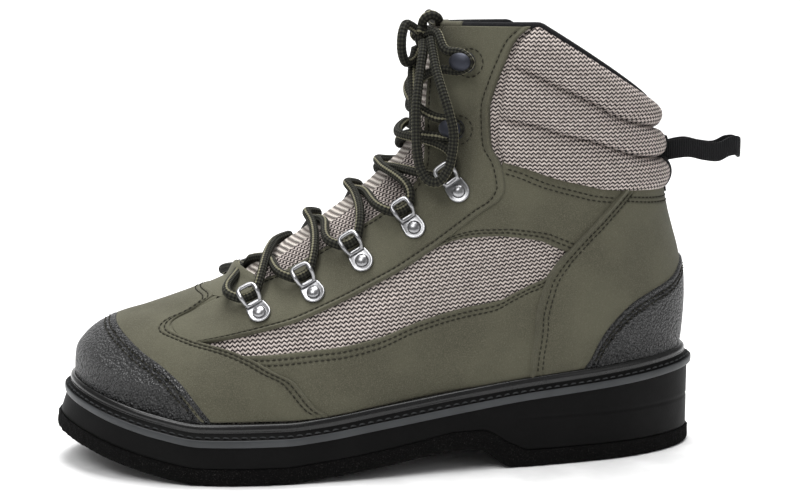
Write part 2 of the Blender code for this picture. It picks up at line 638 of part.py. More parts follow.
def make_eyestay(group, side, name):
    """Eyestay that runs up into the shaft's front panel, on one side."""
    rows = np.array(EYESTAY_ROWS)
    across = np.linspace(0, 1, EYESTAY_COLUMNS)
    front, rear = read(EYESTAY, 1, rows), read(EYESTAY, 2, rows)
    turn = front[:, None] + (rear - front)[:, None] * across[None, :]
    v = np.repeat(rows[:, None], len(across), axis=1)
    high = LAY + OVERLAY + FOLD_RISE * np.clip(1 - (1 - across) / FOLD_SHARE, 0, 1)
    patch("eyestay_" + name, v, turn * side, LAY, np.repeat(high[None], len(rows), axis=0), "olive", group)


def make_heel_quarter(group):
    """Heel quarter round the back, its front edges raised over a cord."""
    rows = np.array(QUARTER_ROWS)
    edge = read(QUARTER_SEAM, 1, rows)
    near_edge = np.array(QUARTER_EDGE)
    across = np.concatenate([near_edge, np.linspace(*QUARTER_MIDDLE), 1 - near_edge[::-1]])
    turn = edge[:, None] + (2 - 2 * edge[:, None]) * across[None, :]
    v = np.repeat(rows[:, None], len(across), axis=1)
    near = np.minimum(across, 1 - across)
    high = LAY + OVERLAY + CORD_RISE * np.exp(-((near - CORD_PLACE) / CORD_SPREAD) ** 2)
    patch("heel_quarter", v, turn, LAY, np.repeat(high[None], len(rows), axis=0), "olive", group)


def make_heel_counter(group):
    """Pebbled heel counter over the quarter."""
    rows = np.array(COUNTER_ROWS)
    edge = np.interp(rows, *columns(COUNTER_EDGE))
    across = np.linspace(0, 1, COUNTER_COLUMNS)
    turn = edge[:, None] + (2 - 2 * edge[:, None]) * across[None, :]
    v = np.repeat(rows[:, None], len(across), axis=1)
    low = 3 * LAY + OVERLAY
    return patch("heel_counter", v, turn, low, low + COUNTER_THICKNESS, "pebbled", group)


def make_collar(group):
    """Padded collar of three rolls round the back of the shaft."""
    across = np.linspace(0, 1, COLLAR_COLUMNS)
    side = np.minimum(across, 1 - across) * 2
    foot_front = read(COLLAR_FRONT, 1, COLLAR_CORNER)
    foot = read(COLLAR_FOOT, 1, foot_front + (1 - foot_front) * side)
    bounds = [foot] + [np.full_like(foot, row) for row in COLLAR_ROLLS]
    v_rows, swell = [], []
    for low, high in zip(bounds[:-1], bounds[1:]):
        for share in ROLL_SHARES:
            v_rows.append(low + (high - low) * share)
            swell.append(math.sin(math.pi * share) ** ROLL_FULLNESS)
    v_rows.append(bounds[-1])
    swell.append(0.0)
    v = np.array(v_rows)
    front = read(COLLAR_FRONT, 1, v)
    near = np.where(across < 0.5, front + (1 - front) * side, 2 - front - (1 - front) * side)
    taper = np.clip(side / ROLL_TAPER, 0, 1) ** 0.5
    high = LAY + VALLEY_THICKNESS + ROLL_RISE * np.array(swell)[:, None] * taper[None, :]
    return patch("collar_pad", v, near, LAY, high, "mesh", group)


# Tongue.
def share_between(v, ends):
    """Share of the way between two rows, held at nought and one beyond them."""
    return np.clip((v - ends[0]) / (ends[1] - ends[0]), 0, 1)


def tongue_offset(v, turn):
    """Offset of the tongue's face from the last: under the eyestays, swelling up in the throat."""
    edge = np.maximum(throat_turn(v), TONGUE_LEAST / 3)
    middle = np.clip(1 - (np.abs(turn) / (edge * CROWN_SHARE)) ** 2, 0, 1)
    start = share_between(v, CROWN_ROWS)
    shaft = share_between(v, SHAFT_CROWN_ROWS)
    crown = (TONGUE_CROWN * (1 - shaft) + SHAFT_CROWN * shaft) * start
    return -(WALL + GAP * 3) + crown * middle


def tongue_half_turn(v):
    """Half turn that the tongue covers."""
    flare = TONGUE_FLARE * share_between(v, (TOP_ROW - 4, TOP_ROW))
    return np.maximum(throat_turn(v), TONGUE_LEAST) + TONGUE_LAP + flare


def make_tongue(group):
    """Padded mesh tongue under the throat."""
    rows = np.array(TONGUE_ROWS)
    across = np.linspace(-1, 1, TONGUE_COLUMNS)
    turn = tongue_half_turn(rows)[:, None] * across[None, :]
    v = np.repeat(rows[:, None], len(across), axis=1)
    high = tongue_offset(v, turn)
    edge = 1 - TONGUE_THINNING * np.abs(across) ** 3
    low = -(WALL + GAP * 3) - TONGUE_THICKNESS * edge[None, :] * np.ones_like(v)
    return patch("tongue", v, turn, low, high, "mesh", group)


def make_throat_tab(group):
    """Small olive tab over the throat's front, under the first lace."""
    rows = np.array(TAB_ROWS)
    across = np.linspace(-1, 1, TAB_COLUMNS)
    turn = np.repeat(TAB_HALF_TURN * across[None, :], len(rows), axis=0)
    v = np.repeat(rows[:, None], len(across), axis=1)
    clear = tongue_offset(v, turn * 0) + GAP * 2
    low = np.maximum(clear, GAP * 3)
    return patch("throat_tab", v, turn, low, low + OVERLAY, "olive", group)


# Pull loop. Along: share of LOOP_REACH. Half: share of LOOP_SPREAD. Rise: share of LOOP_WAVE.
LOOP_ROW = 12.0
# along, half, rise
LOOP_ROUTE = (
    (0.02, 0.458, -1.0), (0.14, 0.708, 0.0), (0.30, 0.917, 0.6), (0.50, 1.000, 0.5), (0.70, 0.958, -0.2),
    (0.86, 0.875, 0.3), (0.95, 0.708, 0.9), (0.99, 0.417, 1.0), (1.00, 0.000, 0.9),
)


def make_pull_loop(group):
    """Webbing pull loop: a band on edge that runs out from one side of the back line and returns."""
    crown = LAY + VALLEY_THICKNESS + ROLL_RISE
    seat = last_skin(np.array([LOOP_ROW]), np.array([math.pi]), crown + LOOP_CLEARANCE)[0]
    along, half, rise = columns(LOOP_ROUTE)
    half, rise = half * LOOP_SPREAD, rise * LOOP_WAVE
    x = seat[0] + LOOP_REACH * np.concatenate([along, along[-2::-1]])
    y = np.concatenate([-half, half[-2::-1]])
    z = seat[2] + np.concatenate([rise, rise[-2::-1]])
    path = np.column_stack([x, y])
    ahead = np.gradient(path, axis=0)
    ahead /= np.linalg.norm(ahead, axis=1, keepdims=True)
    outward = np.column_stack([ahead[:, 1], -ahead[:, 0]])
    bm = bmesh.new()
    corners = []
    for shift, lift in ((0.5, -0.5), (0.5, 0.5), (-0.5, 0.5), (-0.5, -0.5)):
        plan = path + outward * shift * LOOP_BAND
        corners.append(np.column_stack([plan, z + lift * LOOP_WIDTH]))
    rings = np.stack(corners, axis=1)
    grid = vertex_grid(bm, rings)
    quads(bm, grid, wrap=True)
    bm.faces.new(grid[0])
    bm.faces.new(grid[-1])
    return add_object("pull_loop", bm, "webbing", group)


# Hardware. Outline of a ring: shares of its length and of its half width.
# along, across
RING_OUTLINE = (
    (0.00, -0.7), (0.45, -1.0), (0.85, -1.0), (1.00, -0.5), (1.00, 0.5), (0.85, 1.0), (0.45, 1.0), (0.00, 0.7),
)
PLATE_SIDES = 8
RIVET_SIDES = 7
RING_SIDES = 4
HOOK_SIDES = 9
STEM_SIDES = 6
# Radii of the hook's parts at foot and top, shares of HOOK_RADIUS.
HOOK_BASE = (0.95, 0.80)
HOOK_STEM = (0.50, 0.45)
HOOK_CAP = (1.0, 0.82, 0.22)             # along and across, shares of HOOK_RADIUS, and up, of HOOK_HEIGHT
HOOK_SHIFT = 0.25                        # the cap's middle ahead of the stem, a share of HOOK_RADIUS


def seat_frame(v, turn_share, side, offset, towards):
    """Origin, x axis along the upper in the given direction, y axis and normal, at a place on it."""
    turn = turn_share * math.pi * side
    here = last_skin(np.array(v), np.array(turn), offset)
    normal = last_skin(np.array(v), np.array(turn), offset + 0.001) - here
    normal /= np.linalg.norm(normal)
    x_axis = np.array(towards) * np.array([1.0, side, 1.0])
    x_axis = x_axis - normal * np.dot(x_axis, normal)
    x_axis /= np.linalg.norm(x_axis)
    return here, x_axis, np.cross(normal, x_axis), normal


def placed(bm, origin, x_axis, y_axis, z_axis):
    """Move a bmesh made at the origin into a frame."""
    for vert in bm.verts:
        x, y, z = vert.co
        vert.co = origin + x_axis * x + y_axis * y + z_axis * z


def join_solids(name, meshes, colour, group, helpers):
    """One object that is the Boolean union of several closed meshes."""
    first = add_object(name, meshes[0], colour, group)
    for k, bm in enumerate(meshes[1:]):
        other = add_object(name + "_joined_" + str(k + 1), bm, colour, helpers)
        other.hide_render = True
        other.display_type = "WIRE"
        union = first.modifiers.new("join_" + str(k + 1), "BOOLEAN")
        union.operation = "UNION"
        union.solver = "EXACT"
        union.object = other
    return first


def ring_frame(index, side):
    """Frame of a D-ring: origin at its rivet, x towards its loop, z off the upper."""
    v, share = RING_PLACES[index]
    return seat_frame(v, share, side, LAY + 2 * GAP + OVERLAY, RING_TOWARDS)


def make_d_ring(index, side, name, group, helpers):
    """One D-ring: rivet plate and dome, and a wire loop that the lace runs through."""
    here, x_axis, y_axis, normal = ring_frame(index, side)
    plate = bmesh.new()
    bmesh.ops.create_cone(plate, cap_ends=True, segments=PLATE_SIDES, radius1=PLATE_RADIUS,
                          radius2=PLATE_RADIUS, depth=PLATE_THICKNESS)
    for vert in plate.verts:
        vert.co.z += PLATE_THICKNESS / 2
    placed(plate, here, x_axis, y_axis, normal)
    dome = bmesh.new()
    bmesh.ops.create_cone(dome, cap_ends=True, segments=RIVET_SIDES, radius1=RIVET_RADIUS,
                          radius2=RIVET_TOP_RADIUS, depth=RIVET_HEIGHT)
    for vert in dome.verts:
        vert.co.z += (RIVET_HEIGHT + PLATE_THICKNESS) / 2
    placed(dome, here, x_axis, y_axis, normal)
    wire = RING_WIRE / 2
    half = RING_WIDTH / 2 - wire
    along, across = columns(RING_OUTLINE)
    x = along * RING_LENGTH
    centre = np.column_stack([x, across * half, PLATE_THICKNESS + GAP / 2 + x * math.sin(RING_LIFT)])
    loop = tube_mesh(centre, wire, RING_SIDES, closed=True)
    placed(loop, here, x_axis, y_axis, normal)
    return join_solids("d_ring_" + name + "_" + str(index + 1), [plate, dome, loop], "chrome", group, helpers)


def tube_mesh(path, radius, sides, closed):
    """A round tube along points, closed into a ring or capped at its ends."""
    count = len(path)
    if closed:
        ahead = np.roll(path, -1, axis=0) - np.roll(path, 1, axis=0)
    else:
        ahead = np.gradient(path, axis=0)
    ahead /= np.linalg.norm(ahead, axis=1, keepdims=True)
    reference = np.array([0.0, 0.0, 1.0]) if closed else np.array([0.13, 0.21, 0.97])
    first = np.cross(ahead, reference)
    first /= np.linalg.norm(first, axis=1, keepdims=True)
    second = np.cross(ahead, first)
    angle = np.linspace(0, 2 * math.pi, sides, endpoint=False)
    rings = (path[:, None] + radius * (first[:, None] * np.cos(angle)[None, :, None]
                                       + second[:, None] * np.sin(angle)[None, :, None]))
    bm = bmesh.new()
    grid = vertex_grid(bm, rings)
    if closed:
        grid.append(grid[0])
        quads(bm, grid, wrap=True)
    else:
        quads(bm, grid, wrap=True)
        bm.faces.new(grid[0])
        bm.faces.new(grid[count - 1])
    bmesh.ops.recalc_face_normals(bm, faces=bm.faces)
    return bm


def make_hook(index, side, name, group, helpers):
    """Speed hook: a short stem and a rounded cap that stands off the shaft."""
    v, share = HOOK_PLACES[index]
    here, ridge, across, normal = seat_frame(v, share, side, LAY + 2 * GAP + OVERLAY, HOOK_TOWARDS)
    base = bmesh.new()
    bmesh.ops.create_cone(base, cap_ends=True, segments=HOOK_SIDES, radius1=HOOK_RADIUS * HOOK_BASE[0],
                          radius2=HOOK_RADIUS * HOOK_BASE[1], depth=PLATE_THICKNESS)
    for vert in base.verts:
        vert.co.z += PLATE_THICKNESS / 2
    placed(base, here, ridge, across, normal)
    stem = bmesh.new()
    bmesh.ops.create_cone(stem, cap_ends=True, segments=STEM_SIDES, radius1=HOOK_RADIUS * HOOK_STEM[0],
                          radius2=HOOK_RADIUS * HOOK_STEM[1], depth=HOOK_HEIGHT)
    for vert in stem.verts:
        vert.co.z += HOOK_HEIGHT / 2 + PLATE_THICKNESS / 3
    placed(stem, here, ridge, across, normal)
    cap = bmesh.new()
    bmesh.ops.create_uvsphere(cap, u_segments=HOOK_SIDES, v_segments=5, radius=1.0)
    for vert in cap.verts:
        vert.co.x = vert.co.x * HOOK_RADIUS * HOOK_CAP[0] + HOOK_RADIUS * HOOK_SHIFT
        vert.co.y *= HOOK_RADIUS * HOOK_CAP[1]
        vert.co.z = vert.co.z * HOOK_HEIGHT * HOOK_CAP[2] + HOOK_HEIGHT
    placed(cap, here, ridge, across, normal)
    return join_solids("hook_" + name + "_" + str(index + 1), [base, stem, cap], "gunmetal", group, helpers)


# Lace.
def lace_lift(v):
    """How far the lace's middle line stands off the last where it crosses the tongue."""
    crown = float(tongue_offset(np.array(v), np.array(0.0)))
    panels = (LAY + OVERLAY + GAP) * float(share_between(v, PANEL_LACE_ROWS))
    return max(crown, panels) + LACE / 2 + 1.5 * GAP


def strand(start, end, lift):
    """Middle line of a strand laid over the tongue between two (row, turn share) places."""
    share = np.linspace(STRAND_TRIM, 1 - STRAND_TRIM, STRAND_POINTS)
    v = start[0] + (end[0] - start[0]) * share
    turn = start[1] + (end[1] - start[1]) * share
    base = np.array([lace_lift(row) for row in v])
    return last_skin(v, turn * math.pi, base + lift)


# Where the lace passes each pair of rings and hooks, on the outer side.
# row, turn
LACE_PLACES = (
    (7.02, 0.105), (7.45, 0.150), (8.25, 0.185), (9.25, 0.205), (10.40, 0.225), (11.60, 0.190), (12.90, 0.170),
)


def make_crossings(group, helpers):
    """Lace crossings over the tongue, each pair of strands joined where they cross."""
    for k in range(len(LACE_PLACES) - 1):
        low, high = LACE_PLACES[k], LACE_PLACES[k + 1]
        one = strand((low[0], -low[1]), high, 0.0)
        two = strand(low, (high[0], -high[1]), LACE * CROSSING_RISE)
        meshes = [tube_mesh(line, LACE / 2, LACE_SIDES, closed=False) for line in (one, two)]
        join_solids("lace_cross_" + str(k + 1), meshes, "lace", group, helpers)


# Routes of the lace's free stretches: chosen points of each one's middle line, metres.
# x, y, z
KNOT_MIDDLE = (-0.0952, -0.0040, 0.2031)
KNOT_RADII = (0.0046, 0.0050, 0.0054)
HANGING_LOOP = (
    (-0.0958, -0.0094, 0.2003), (-0.0968, -0.0145, 0.1962), (-0.0984, -0.0185, 0.1890),
    (-0.1003, -0.0230, 0.1800), (-0.1018, -0.0270, 0.1700), (-0.1022, -0.0295, 0.1600),
    (-0.1021, -0.0315, 0.1506), (-0.1002, -0.0330, 0.1413), (-0.0969, -0.0345, 0.1367),
    (-0.0928, -0.0355, 0.1363), (-0.0891, -0.0360, 0.1405), (-0.0861, -0.0362, 0.1503),
    (-0.0856, -0.0358, 0.1592), (-0.0876, -0.0345, 0.1689), (-0.0901, -0.0310, 0.1784),
    (-0.0918, -0.0255, 0.1865), (-0.0925, -0.0190, 0.1945), (-0.0928, -0.0125, 0.2022),
)
SHORT_LOOP = (
    (-0.0977, -0.0043, 0.1972), (-0.1000, -0.0055, 0.1925), (-0.1040, -0.0090, 0.1908),
    (-0.1063, -0.0120, 0.1950), (-0.1068, -0.0130, 0.2006), (-0.1062, -0.0122, 0.2050),
    (-0.1042, -0.0098, 0.2088), (-0.1008, -0.0067, 0.2076),
)
OUTER_END = (
    (-0.0978, 0.0012, 0.1972), (-0.0990, 0.0000, 0.1925), (-0.1006, -0.0060, 0.1865),
    (-0.1014, -0.0125, 0.1790), (-0.1018, -0.0178, 0.1705), (-0.1021, -0.0215, 0.1620),
)
INNER_END = (
    (-0.0934, 0.0010, 0.2058), (-0.0915, 0.0070, 0.2105), (-0.0905, 0.0140, 0.2140),
    (-0.0880, 0.0250, 0.2140), (-0.0840, 0.0350, 0.2080), (-0.0805, 0.0425, 0.1985),
    (-0.0795, 0.0450, 0.1850), (-0.0800, 0.0448, 0.1700), (-0.0810, 0.0440, 0.1550),
)


def smooth_route(points, step):
    """Points along a smooth curve through chosen ones, about a step apart."""
    points = np.array(points)
    run = np.concatenate([[0], np.cumsum(np.linalg.norm(np.diff(points, axis=0), axis=1))])
    tangent = np.gradient(points, run, axis=0)
    at = np.linspace(0, run[-1], max(4, round(run[-1] / step)))
    i = np.clip(np.searchsorted(run, at, side="right") - 1, 0, len(run) - 2)
    h = (run[i + 1] - run[i])[:, None]
    t = (at - run[i])[:, None] / h
    return (points[i] * (2 * t ** 3 - 3 * t ** 2 + 1) + tangent[i] * h * (t ** 3 - 2 * t ** 2 + t)
            + points[i + 1] * (3 * t ** 2 - 2 * t ** 3) + tangent[i + 1] * h * (t ** 3 - t ** 2))


def make_cord(name, route, group):
    """A lace's free stretch: a round cord along a smooth curve through its route."""
    points = smooth_route(route, LACE * 2)
    curve = bpy.data.curves.new(name, "CURVE")
    curve.dimensions = "3D"
    curve.bevel_depth = LACE / 2
    curve.bevel_resolution = 2
    curve.use_fill_caps = True
    spline = curve.splines.new("POLY")
    spline.points.add(len(points) - 1)
    for place, point in zip(spline.points, points):
        place.co = (*point, 1.0)
    curve.materials.append(material_for(name, "lace"))
    cord = bpy.data.objects.new(name, curve)
    group.objects.link(cord)


def make_knot(group):
    """The bow's knot as a plain rounded solid."""
    bm = bmesh.new()
    bmesh.ops.create_uvsphere(bm, u_segments=12, v_segments=8, radius=1.0)
    for vert in bm.verts:
        for axis in range(3):
            vert.co[axis] = vert.co[axis] * KNOT_RADII[axis] + KNOT_MIDDLE[axis]
    add_object("lace_knot", bm, "lace", group)


def main():
    """Build the boot."""
    clear_scene()
    boot = make_collection("wading_boot")
    helpers = make_collection("joined_shapes")
    make_outsole(boot)
    make_midsole(boot)
    make_welt(boot)
    make_insole(boot)
    make_upper(boot)
    make_toe_cap(boot)
    make_vamp(boot)
    make_heel_quarter(boot)
    make_heel_counter(boot)
    for side, name in ((1, "outer"), (-1, "inner")):
        make_side_bands(boot, side, name)
        make_eyestay(boot, side, name)
        for index in range(len(RING_PLACES)):
            make_d_ring(index, side, name, boot, helpers)
        for index in range(len(HOOK_PLACES)):
            make_hook(index, side, name, boot, helpers)
    make_collar(boot)
    make_tongue(boot)
    make_throat_tab(boot)
    make_pull_loop(boot)
    make_crossings(boot, helpers)
    make_knot(boot)
    make_cord("lace_loop_hanging", HANGING_LOOP, boot)
    make_cord("lace_loop_short", SHORT_LOOP, boot)
    make_cord("lace_end_outer", OUTER_END, boot)
    make_cord("lace_end_inner", INNER_END, boot)


if __name__ == "__main__":
    main()
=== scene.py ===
"""Left wading boot: the visual model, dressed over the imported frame.

The boot's skin is one smooth surface worked out from a table of rings, and what is laid on it follows
it by row of the last and turn round it. Metres; toe towards -X, outer side towards -Y, up +Z.
"""
from __future__ import annotations

import logging
import math
from dataclasses import dataclass
from enum import Enum
from typing import Optional, Sequence

import bmesh
import bpy
import numpy as np
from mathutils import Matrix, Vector

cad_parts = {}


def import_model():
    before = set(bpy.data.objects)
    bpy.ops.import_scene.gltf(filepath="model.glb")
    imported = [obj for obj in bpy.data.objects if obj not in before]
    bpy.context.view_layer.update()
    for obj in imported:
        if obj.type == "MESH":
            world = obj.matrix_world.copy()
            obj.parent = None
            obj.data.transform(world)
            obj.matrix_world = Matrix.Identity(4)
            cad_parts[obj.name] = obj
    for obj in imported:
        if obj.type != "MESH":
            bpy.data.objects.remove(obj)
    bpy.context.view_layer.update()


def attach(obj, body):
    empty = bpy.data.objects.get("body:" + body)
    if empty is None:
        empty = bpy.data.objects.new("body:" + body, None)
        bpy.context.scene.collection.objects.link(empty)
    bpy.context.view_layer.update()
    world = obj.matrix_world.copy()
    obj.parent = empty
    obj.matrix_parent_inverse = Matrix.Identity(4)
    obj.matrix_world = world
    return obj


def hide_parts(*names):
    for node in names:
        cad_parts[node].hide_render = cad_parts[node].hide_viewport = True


LOG = logging.getLogger("boot")
Array = np.ndarray
Table = Sequence[tuple[float, ...]]
Place = tuple[float, float, float]
Material = bpy.types.Material
Socket = bpy.types.NodeSocket


# Curves and tables.
def cubic(start: Array, end: Array, leaving: Array, arriving: Array, t: Array) -> Array:
    """Cubic from one value to another with a slope at each, t from 0 to 1."""
    return (start * (2 * t ** 3 - 3 * t ** 2 + 1) + leaving * (t ** 3 - 2 * t ** 2 + t)
            + end * (3 * t ** 2 - 2 * t ** 3) + arriving * (t ** 3 - t ** 2))


def monotone(xs: Array, ys: Array, x: Array) -> Array:
    """Cubic through a table's points that never overshoots: tangents are harmonic means of the slopes.

    Args:
        xs: rising places. ys: values there. x: where to read.

    Returns:
        The values at x, held level beyond the ends.
    """
    xs, ys, x = np.asarray(xs, float), np.asarray(ys, float), np.asarray(x, float)
    step = np.diff(xs)
    slope = np.diff(ys) / step
    tangent = np.zeros_like(ys)
    tangent[0], tangent[-1] = slope[0], slope[-1]
    same = slope[:-1] * slope[1:] > 0
    mean = np.zeros(len(slope) - 1)
    mean[same] = 2 * slope[:-1][same] * slope[1:][same] / (slope[:-1][same] + slope[1:][same])
    tangent[1:-1] = mean
    i = np.clip(np.searchsorted(xs, x, side="right") - 1, 0, len(step) - 1)
    t = np.clip((x - xs[i]) / step[i], 0, 1)
    return cubic(ys[i], ys[i + 1], tangent[i] * step[i], tangent[i + 1] * step[i], t)


def columns(table: Table) -> list[Array]:
    """A table's columns as arrays."""
    return [np.array(column, float) for column in zip(*table)]


def read(table: Table, column: int, key: Array) -> Array:
    """A column of a table, read smoothly between its rows."""
    parts = columns(table)
    return monotone(parts[0], parts[column], key)


def smoothstep(low: float, high: float, x: Array) -> Array:
    """Nought below low, one above high, smooth between."""
    t = np.clip((np.asarray(x, float) - low) / (high - low), 0, 1)
    return t * t * (3 - 2 * t)


def rounded(distance: Array, radius: float) -> Array:
    """Quarter circle rise from an edge: nought on it, one beyond the radius."""
    t = np.clip(1 - np.asarray(distance, float) / radius, 0, 1)
    return np.sqrt(1 - t * t)


def squarish(angle: Array, power: float) -> tuple[Array, Array]:
    """Cosine and sine, drawn towards a square by a power below one."""
    across, along = np.cos(angle), np.sin(angle)
    return np.abs(across) ** power * np.sign(across), np.abs(along) ** power * np.sign(along)


def circle(count: int) -> Array:
    """Angles evenly round a full turn."""
    return np.linspace(0, 2 * math.pi, count, endpoint=False)


def run_length(points: Array, axis: int = 0) -> Array:
    """Length run along one direction of a grid of points, nought at its start."""
    step = np.linalg.norm(np.diff(points, axis=axis), axis=-1)
    first = np.zeros_like(np.take(step, [0], axis=axis))
    return np.concatenate([first, np.cumsum(step, axis=axis)], axis=axis)


def smooth_route(points: Array, step: float) -> Array:
    """Points about a step apart on a smooth curve through chosen ones: cubic pieces between them."""
    points = np.array(points, float)
    run = run_length(points)
    tangent = np.gradient(points, run, axis=0)
    at = np.linspace(0, run[-1], max(4, round(run[-1] / step)))
    i = np.clip(np.searchsorted(run, at, side="right") - 1, 0, len(run) - 2)
    h = (run[i + 1] - run[i])[:, None]
    t = (at - run[i])[:, None] / h
    return cubic(points[i], points[i + 1], tangent[i] * h, tangent[i + 1] * h, t)


def spaced(length: float, step: float, fine: float = 0.0004, margin: float = 0.0085) -> Array:
    """Shares from 0 to 1 along a length, close together near both ends."""
    if length < 2.5 * margin:
        return np.linspace(0, 1, max(6, int(length / fine)))
    near = np.arange(0, margin, fine)
    middle = np.linspace(margin, length - margin, max(3, int((length - 2 * margin) / step)))
    return np.concatenate([near, middle, length - near[::-1]]) / length


def knit_uv(points: Array, lean: float = 0.0) -> Array:
    """UV that keeps a knit's rows level: u is the length along each row of a grid from its middle column.

    Args:
        points: grid of points. lean: how much of the place along X is added to v.

    Returns:
        Grid of u and v, in metres, v the height.
    """
    run = run_length(points, 1)
    middle = run.shape[1] // 2
    return np.stack([run - run[:, middle:middle + 1], points[..., 2] + lean * points[..., 0]], axis=-1)


# Meshes.
WELD = 2e-7
STRANDS = 1900


def grid_quads(rows: int, count: int, wrap: bool = False, start: int = 0) -> Array:
    """Quads over a grid of vertices, joined round its second direction where wrap is set."""
    i, j = np.meshgrid(np.arange(rows - 1), np.arange(count if wrap else count - 1), indexing="ij")
    k = (j + 1) % count
    low, high = start + i * count, start + (i + 1) * count
    return np.stack([low + j, high + j, high + k, low + k], axis=-1).reshape(-1, 4)


def strip_quads(first: Array, second: Array) -> Array:
    """Quads between two lines of vertex numbers."""
    return np.stack([first[:-1], first[1:], second[1:], second[:-1]], axis=-1)


def noise_field(shape: tuple[int, ...], seed: int, smooth: int) -> Array:
    """Seeded noise about nought, averaged over neighbours a few times."""
    values = np.random.default_rng(seed).normal(size=shape)
    for _ in range(smooth):
        for axis in range(values.ndim):
            values = (np.roll(values, 1, axis) + 2 * values + np.roll(values, -1, axis)) / 4
    return values / values.std()


@dataclass
class Piece:
    """Vertices, quads, UV and finish numbers of a piece before it becomes an object."""

    points: Array
    quads: Array
    uv: Array
    marks: Optional[Array] = None

    def welded(self) -> tuple[Array, list[list[int]], Array, Array]:
        """Join vertices that share a place: quads that lose a corner become triangles, others go.

        Returns:
            Points, faces, UV of each face's corners in order, and finish numbers.
        """
        key = np.round(self.points / WELD).astype(np.int64)
        _, first, number = np.unique(key, axis=0, return_index=True, return_inverse=True)
        quads = number.ravel()[self.quads]
        keep = quads != np.roll(quads, 1, axis=1)
        sides = keep.sum(axis=1)
        whole, short = sides == 4, sides == 3
        corner = self.uv[self.quads]
        spread = np.ptp(corner[..., 0], axis=1) > 0.5
        behind = spread[:, None] & (corner[..., 0] < 0.5)
        corner[..., 0] = np.where(behind, corner[..., 0] + 1, corner[..., 0])
        cut = keep[short]
        faces = quads[whole].tolist() + quads[short][cut].reshape(-1, 3).tolist()
        corners = np.concatenate([corner[whole].reshape(-1, 2), corner[short][cut].reshape(-1, 2)])
        marks = np.zeros(len(quads)) if self.marks is None else self.marks
        return self.points[first], faces, corners, np.concatenate([marks[whole], marks[short]])

    def add(self, name: str, finishes: Sequence[Material], slot: str, nodes: Sequence[str] = (),
            angle: float = 40.0) -> bpy.types.Object:
        """Make the object, point its faces outward and set it on the root body.

        Args:
            name: the piece's name. finishes: its materials. slot: not used.
            nodes: the CAD nodes that it stands for. angle: edges sharper than this stay sharp, degrees.

        Returns:
            The object.
        """
        points, faces, corners, marks = self.welded()
        mesh = bpy.data.meshes.new(name)
        mesh.from_pydata(points.tolist(), [], faces)
        layer = mesh.uv_layers.new(name="UVMap")
        layer.data.foreach_set("uv", corners.astype(np.float32).ravel())
        for finish in finishes:
            mesh.materials.append(finish)
        mesh.polygons.foreach_set("material_index", marks.astype(np.int32))
        shape = bmesh.new()
        shape.from_mesh(mesh)
        bmesh.ops.recalc_face_normals(shape, faces=shape.faces)
        shape.to_mesh(mesh)
        shape.free()
        mesh.shade_smooth()
        mesh.set_sharp_from_angle(angle=math.radians(angle))
        thing = bpy.data.objects.new(name, mesh)
        bpy.context.scene.collection.objects.link(thing)
        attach(thing, "root")
        if nodes:
            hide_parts(*nodes)
        LOG.info("%s: %d faces", name, len(mesh.polygons))
        return thing


def joined(pieces: Sequence[Piece]) -> Piece:
    """Several pieces as one."""
    starts = np.cumsum([0] + [len(piece.points) for piece in pieces[:-1]])
    marks = None
    if pieces[0].marks is not None:
        marks = np.concatenate([piece.marks for piece in pieces])
    return Piece(np.concatenate([piece.points for piece in pieces]),
                 np.concatenate([piece.quads + start for piece, start in zip(pieces, starts)]),
                 np.concatenate([piece.uv for piece in pieces]), marks)


def shell(outer: Array, inner: Array, uv: Array) -> Piece:
    """A closed sheet between two grids of points. Marks: 0 outside, 1 inside, 2 on the rims."""
    rows, count = outer.shape[:2]
    start = rows * count
    out, inn = np.arange(start).reshape(rows, count), np.arange(start, 2 * start).reshape(rows, count)
    faces = [grid_quads(rows, count), grid_quads(rows, count, start=start)]
    rims = []
    for end in (0, -1):
        rims += [strip_quads(out[:, end], inn[:, end]), strip_quads(out[end], inn[end])]
    rim = np.concatenate(rims)
    marks = np.concatenate([np.zeros(len(faces[0])), np.ones(len(faces[1])), np.full(len(rim), 2)])
    points = np.concatenate([outer.reshape(-1, 3), inner.reshape(-1, 3)])
    return Piece(points, np.concatenate(faces + [rim]), np.tile(uv.reshape(-1, 2), (2, 1)), marks)


def sheet(outer: Array, inner: Array, uv: Array) -> Piece:
    """A closed sheet of one finish all over."""
    made = shell(outer, inner, uv)
    made.marks = None
    return made


def capped(rows: int, count: int) -> Array:
    """Quads of a tube of rings, its ends closed by strips across from side to side."""
    near = np.arange(0, count // 2 + 1)
    far = (count - near) % count
    ends = [strip_quads(row * count + near, row * count + far) for row in (0, rows - 1)]
    return np.concatenate([grid_quads(rows, count, True)] + ends)


def ring_stack(rings: Array) -> Piece:
    """A closed solid through rings of points."""
    flat = rings.reshape(-1, 3)
    return Piece(flat, capped(*rings.shape[:2]), flat[:, :2].copy())


def frames(path: Array, closed: bool = False) -> tuple[Array, Array, Array]:
    """Tangents and two cross directions along a path, carried along it without twist."""
    if closed:
        ahead = np.roll(path, -1, axis=0) - np.roll(path, 1, axis=0)
    else:
        ahead = np.gradient(path, axis=0)
    ahead /= np.linalg.norm(ahead, axis=1, keepdims=True)
    start = np.eye(3)[np.argmin(np.abs(ahead[0]))]
    first = np.zeros_like(ahead)
    carried = np.cross(ahead[0], start)
    for k, direction in enumerate(ahead):
        carried = carried - direction * carried.dot(direction)
        carried = carried / np.linalg.norm(carried)
        first[k] = carried
    return ahead, first, np.cross(ahead, first)


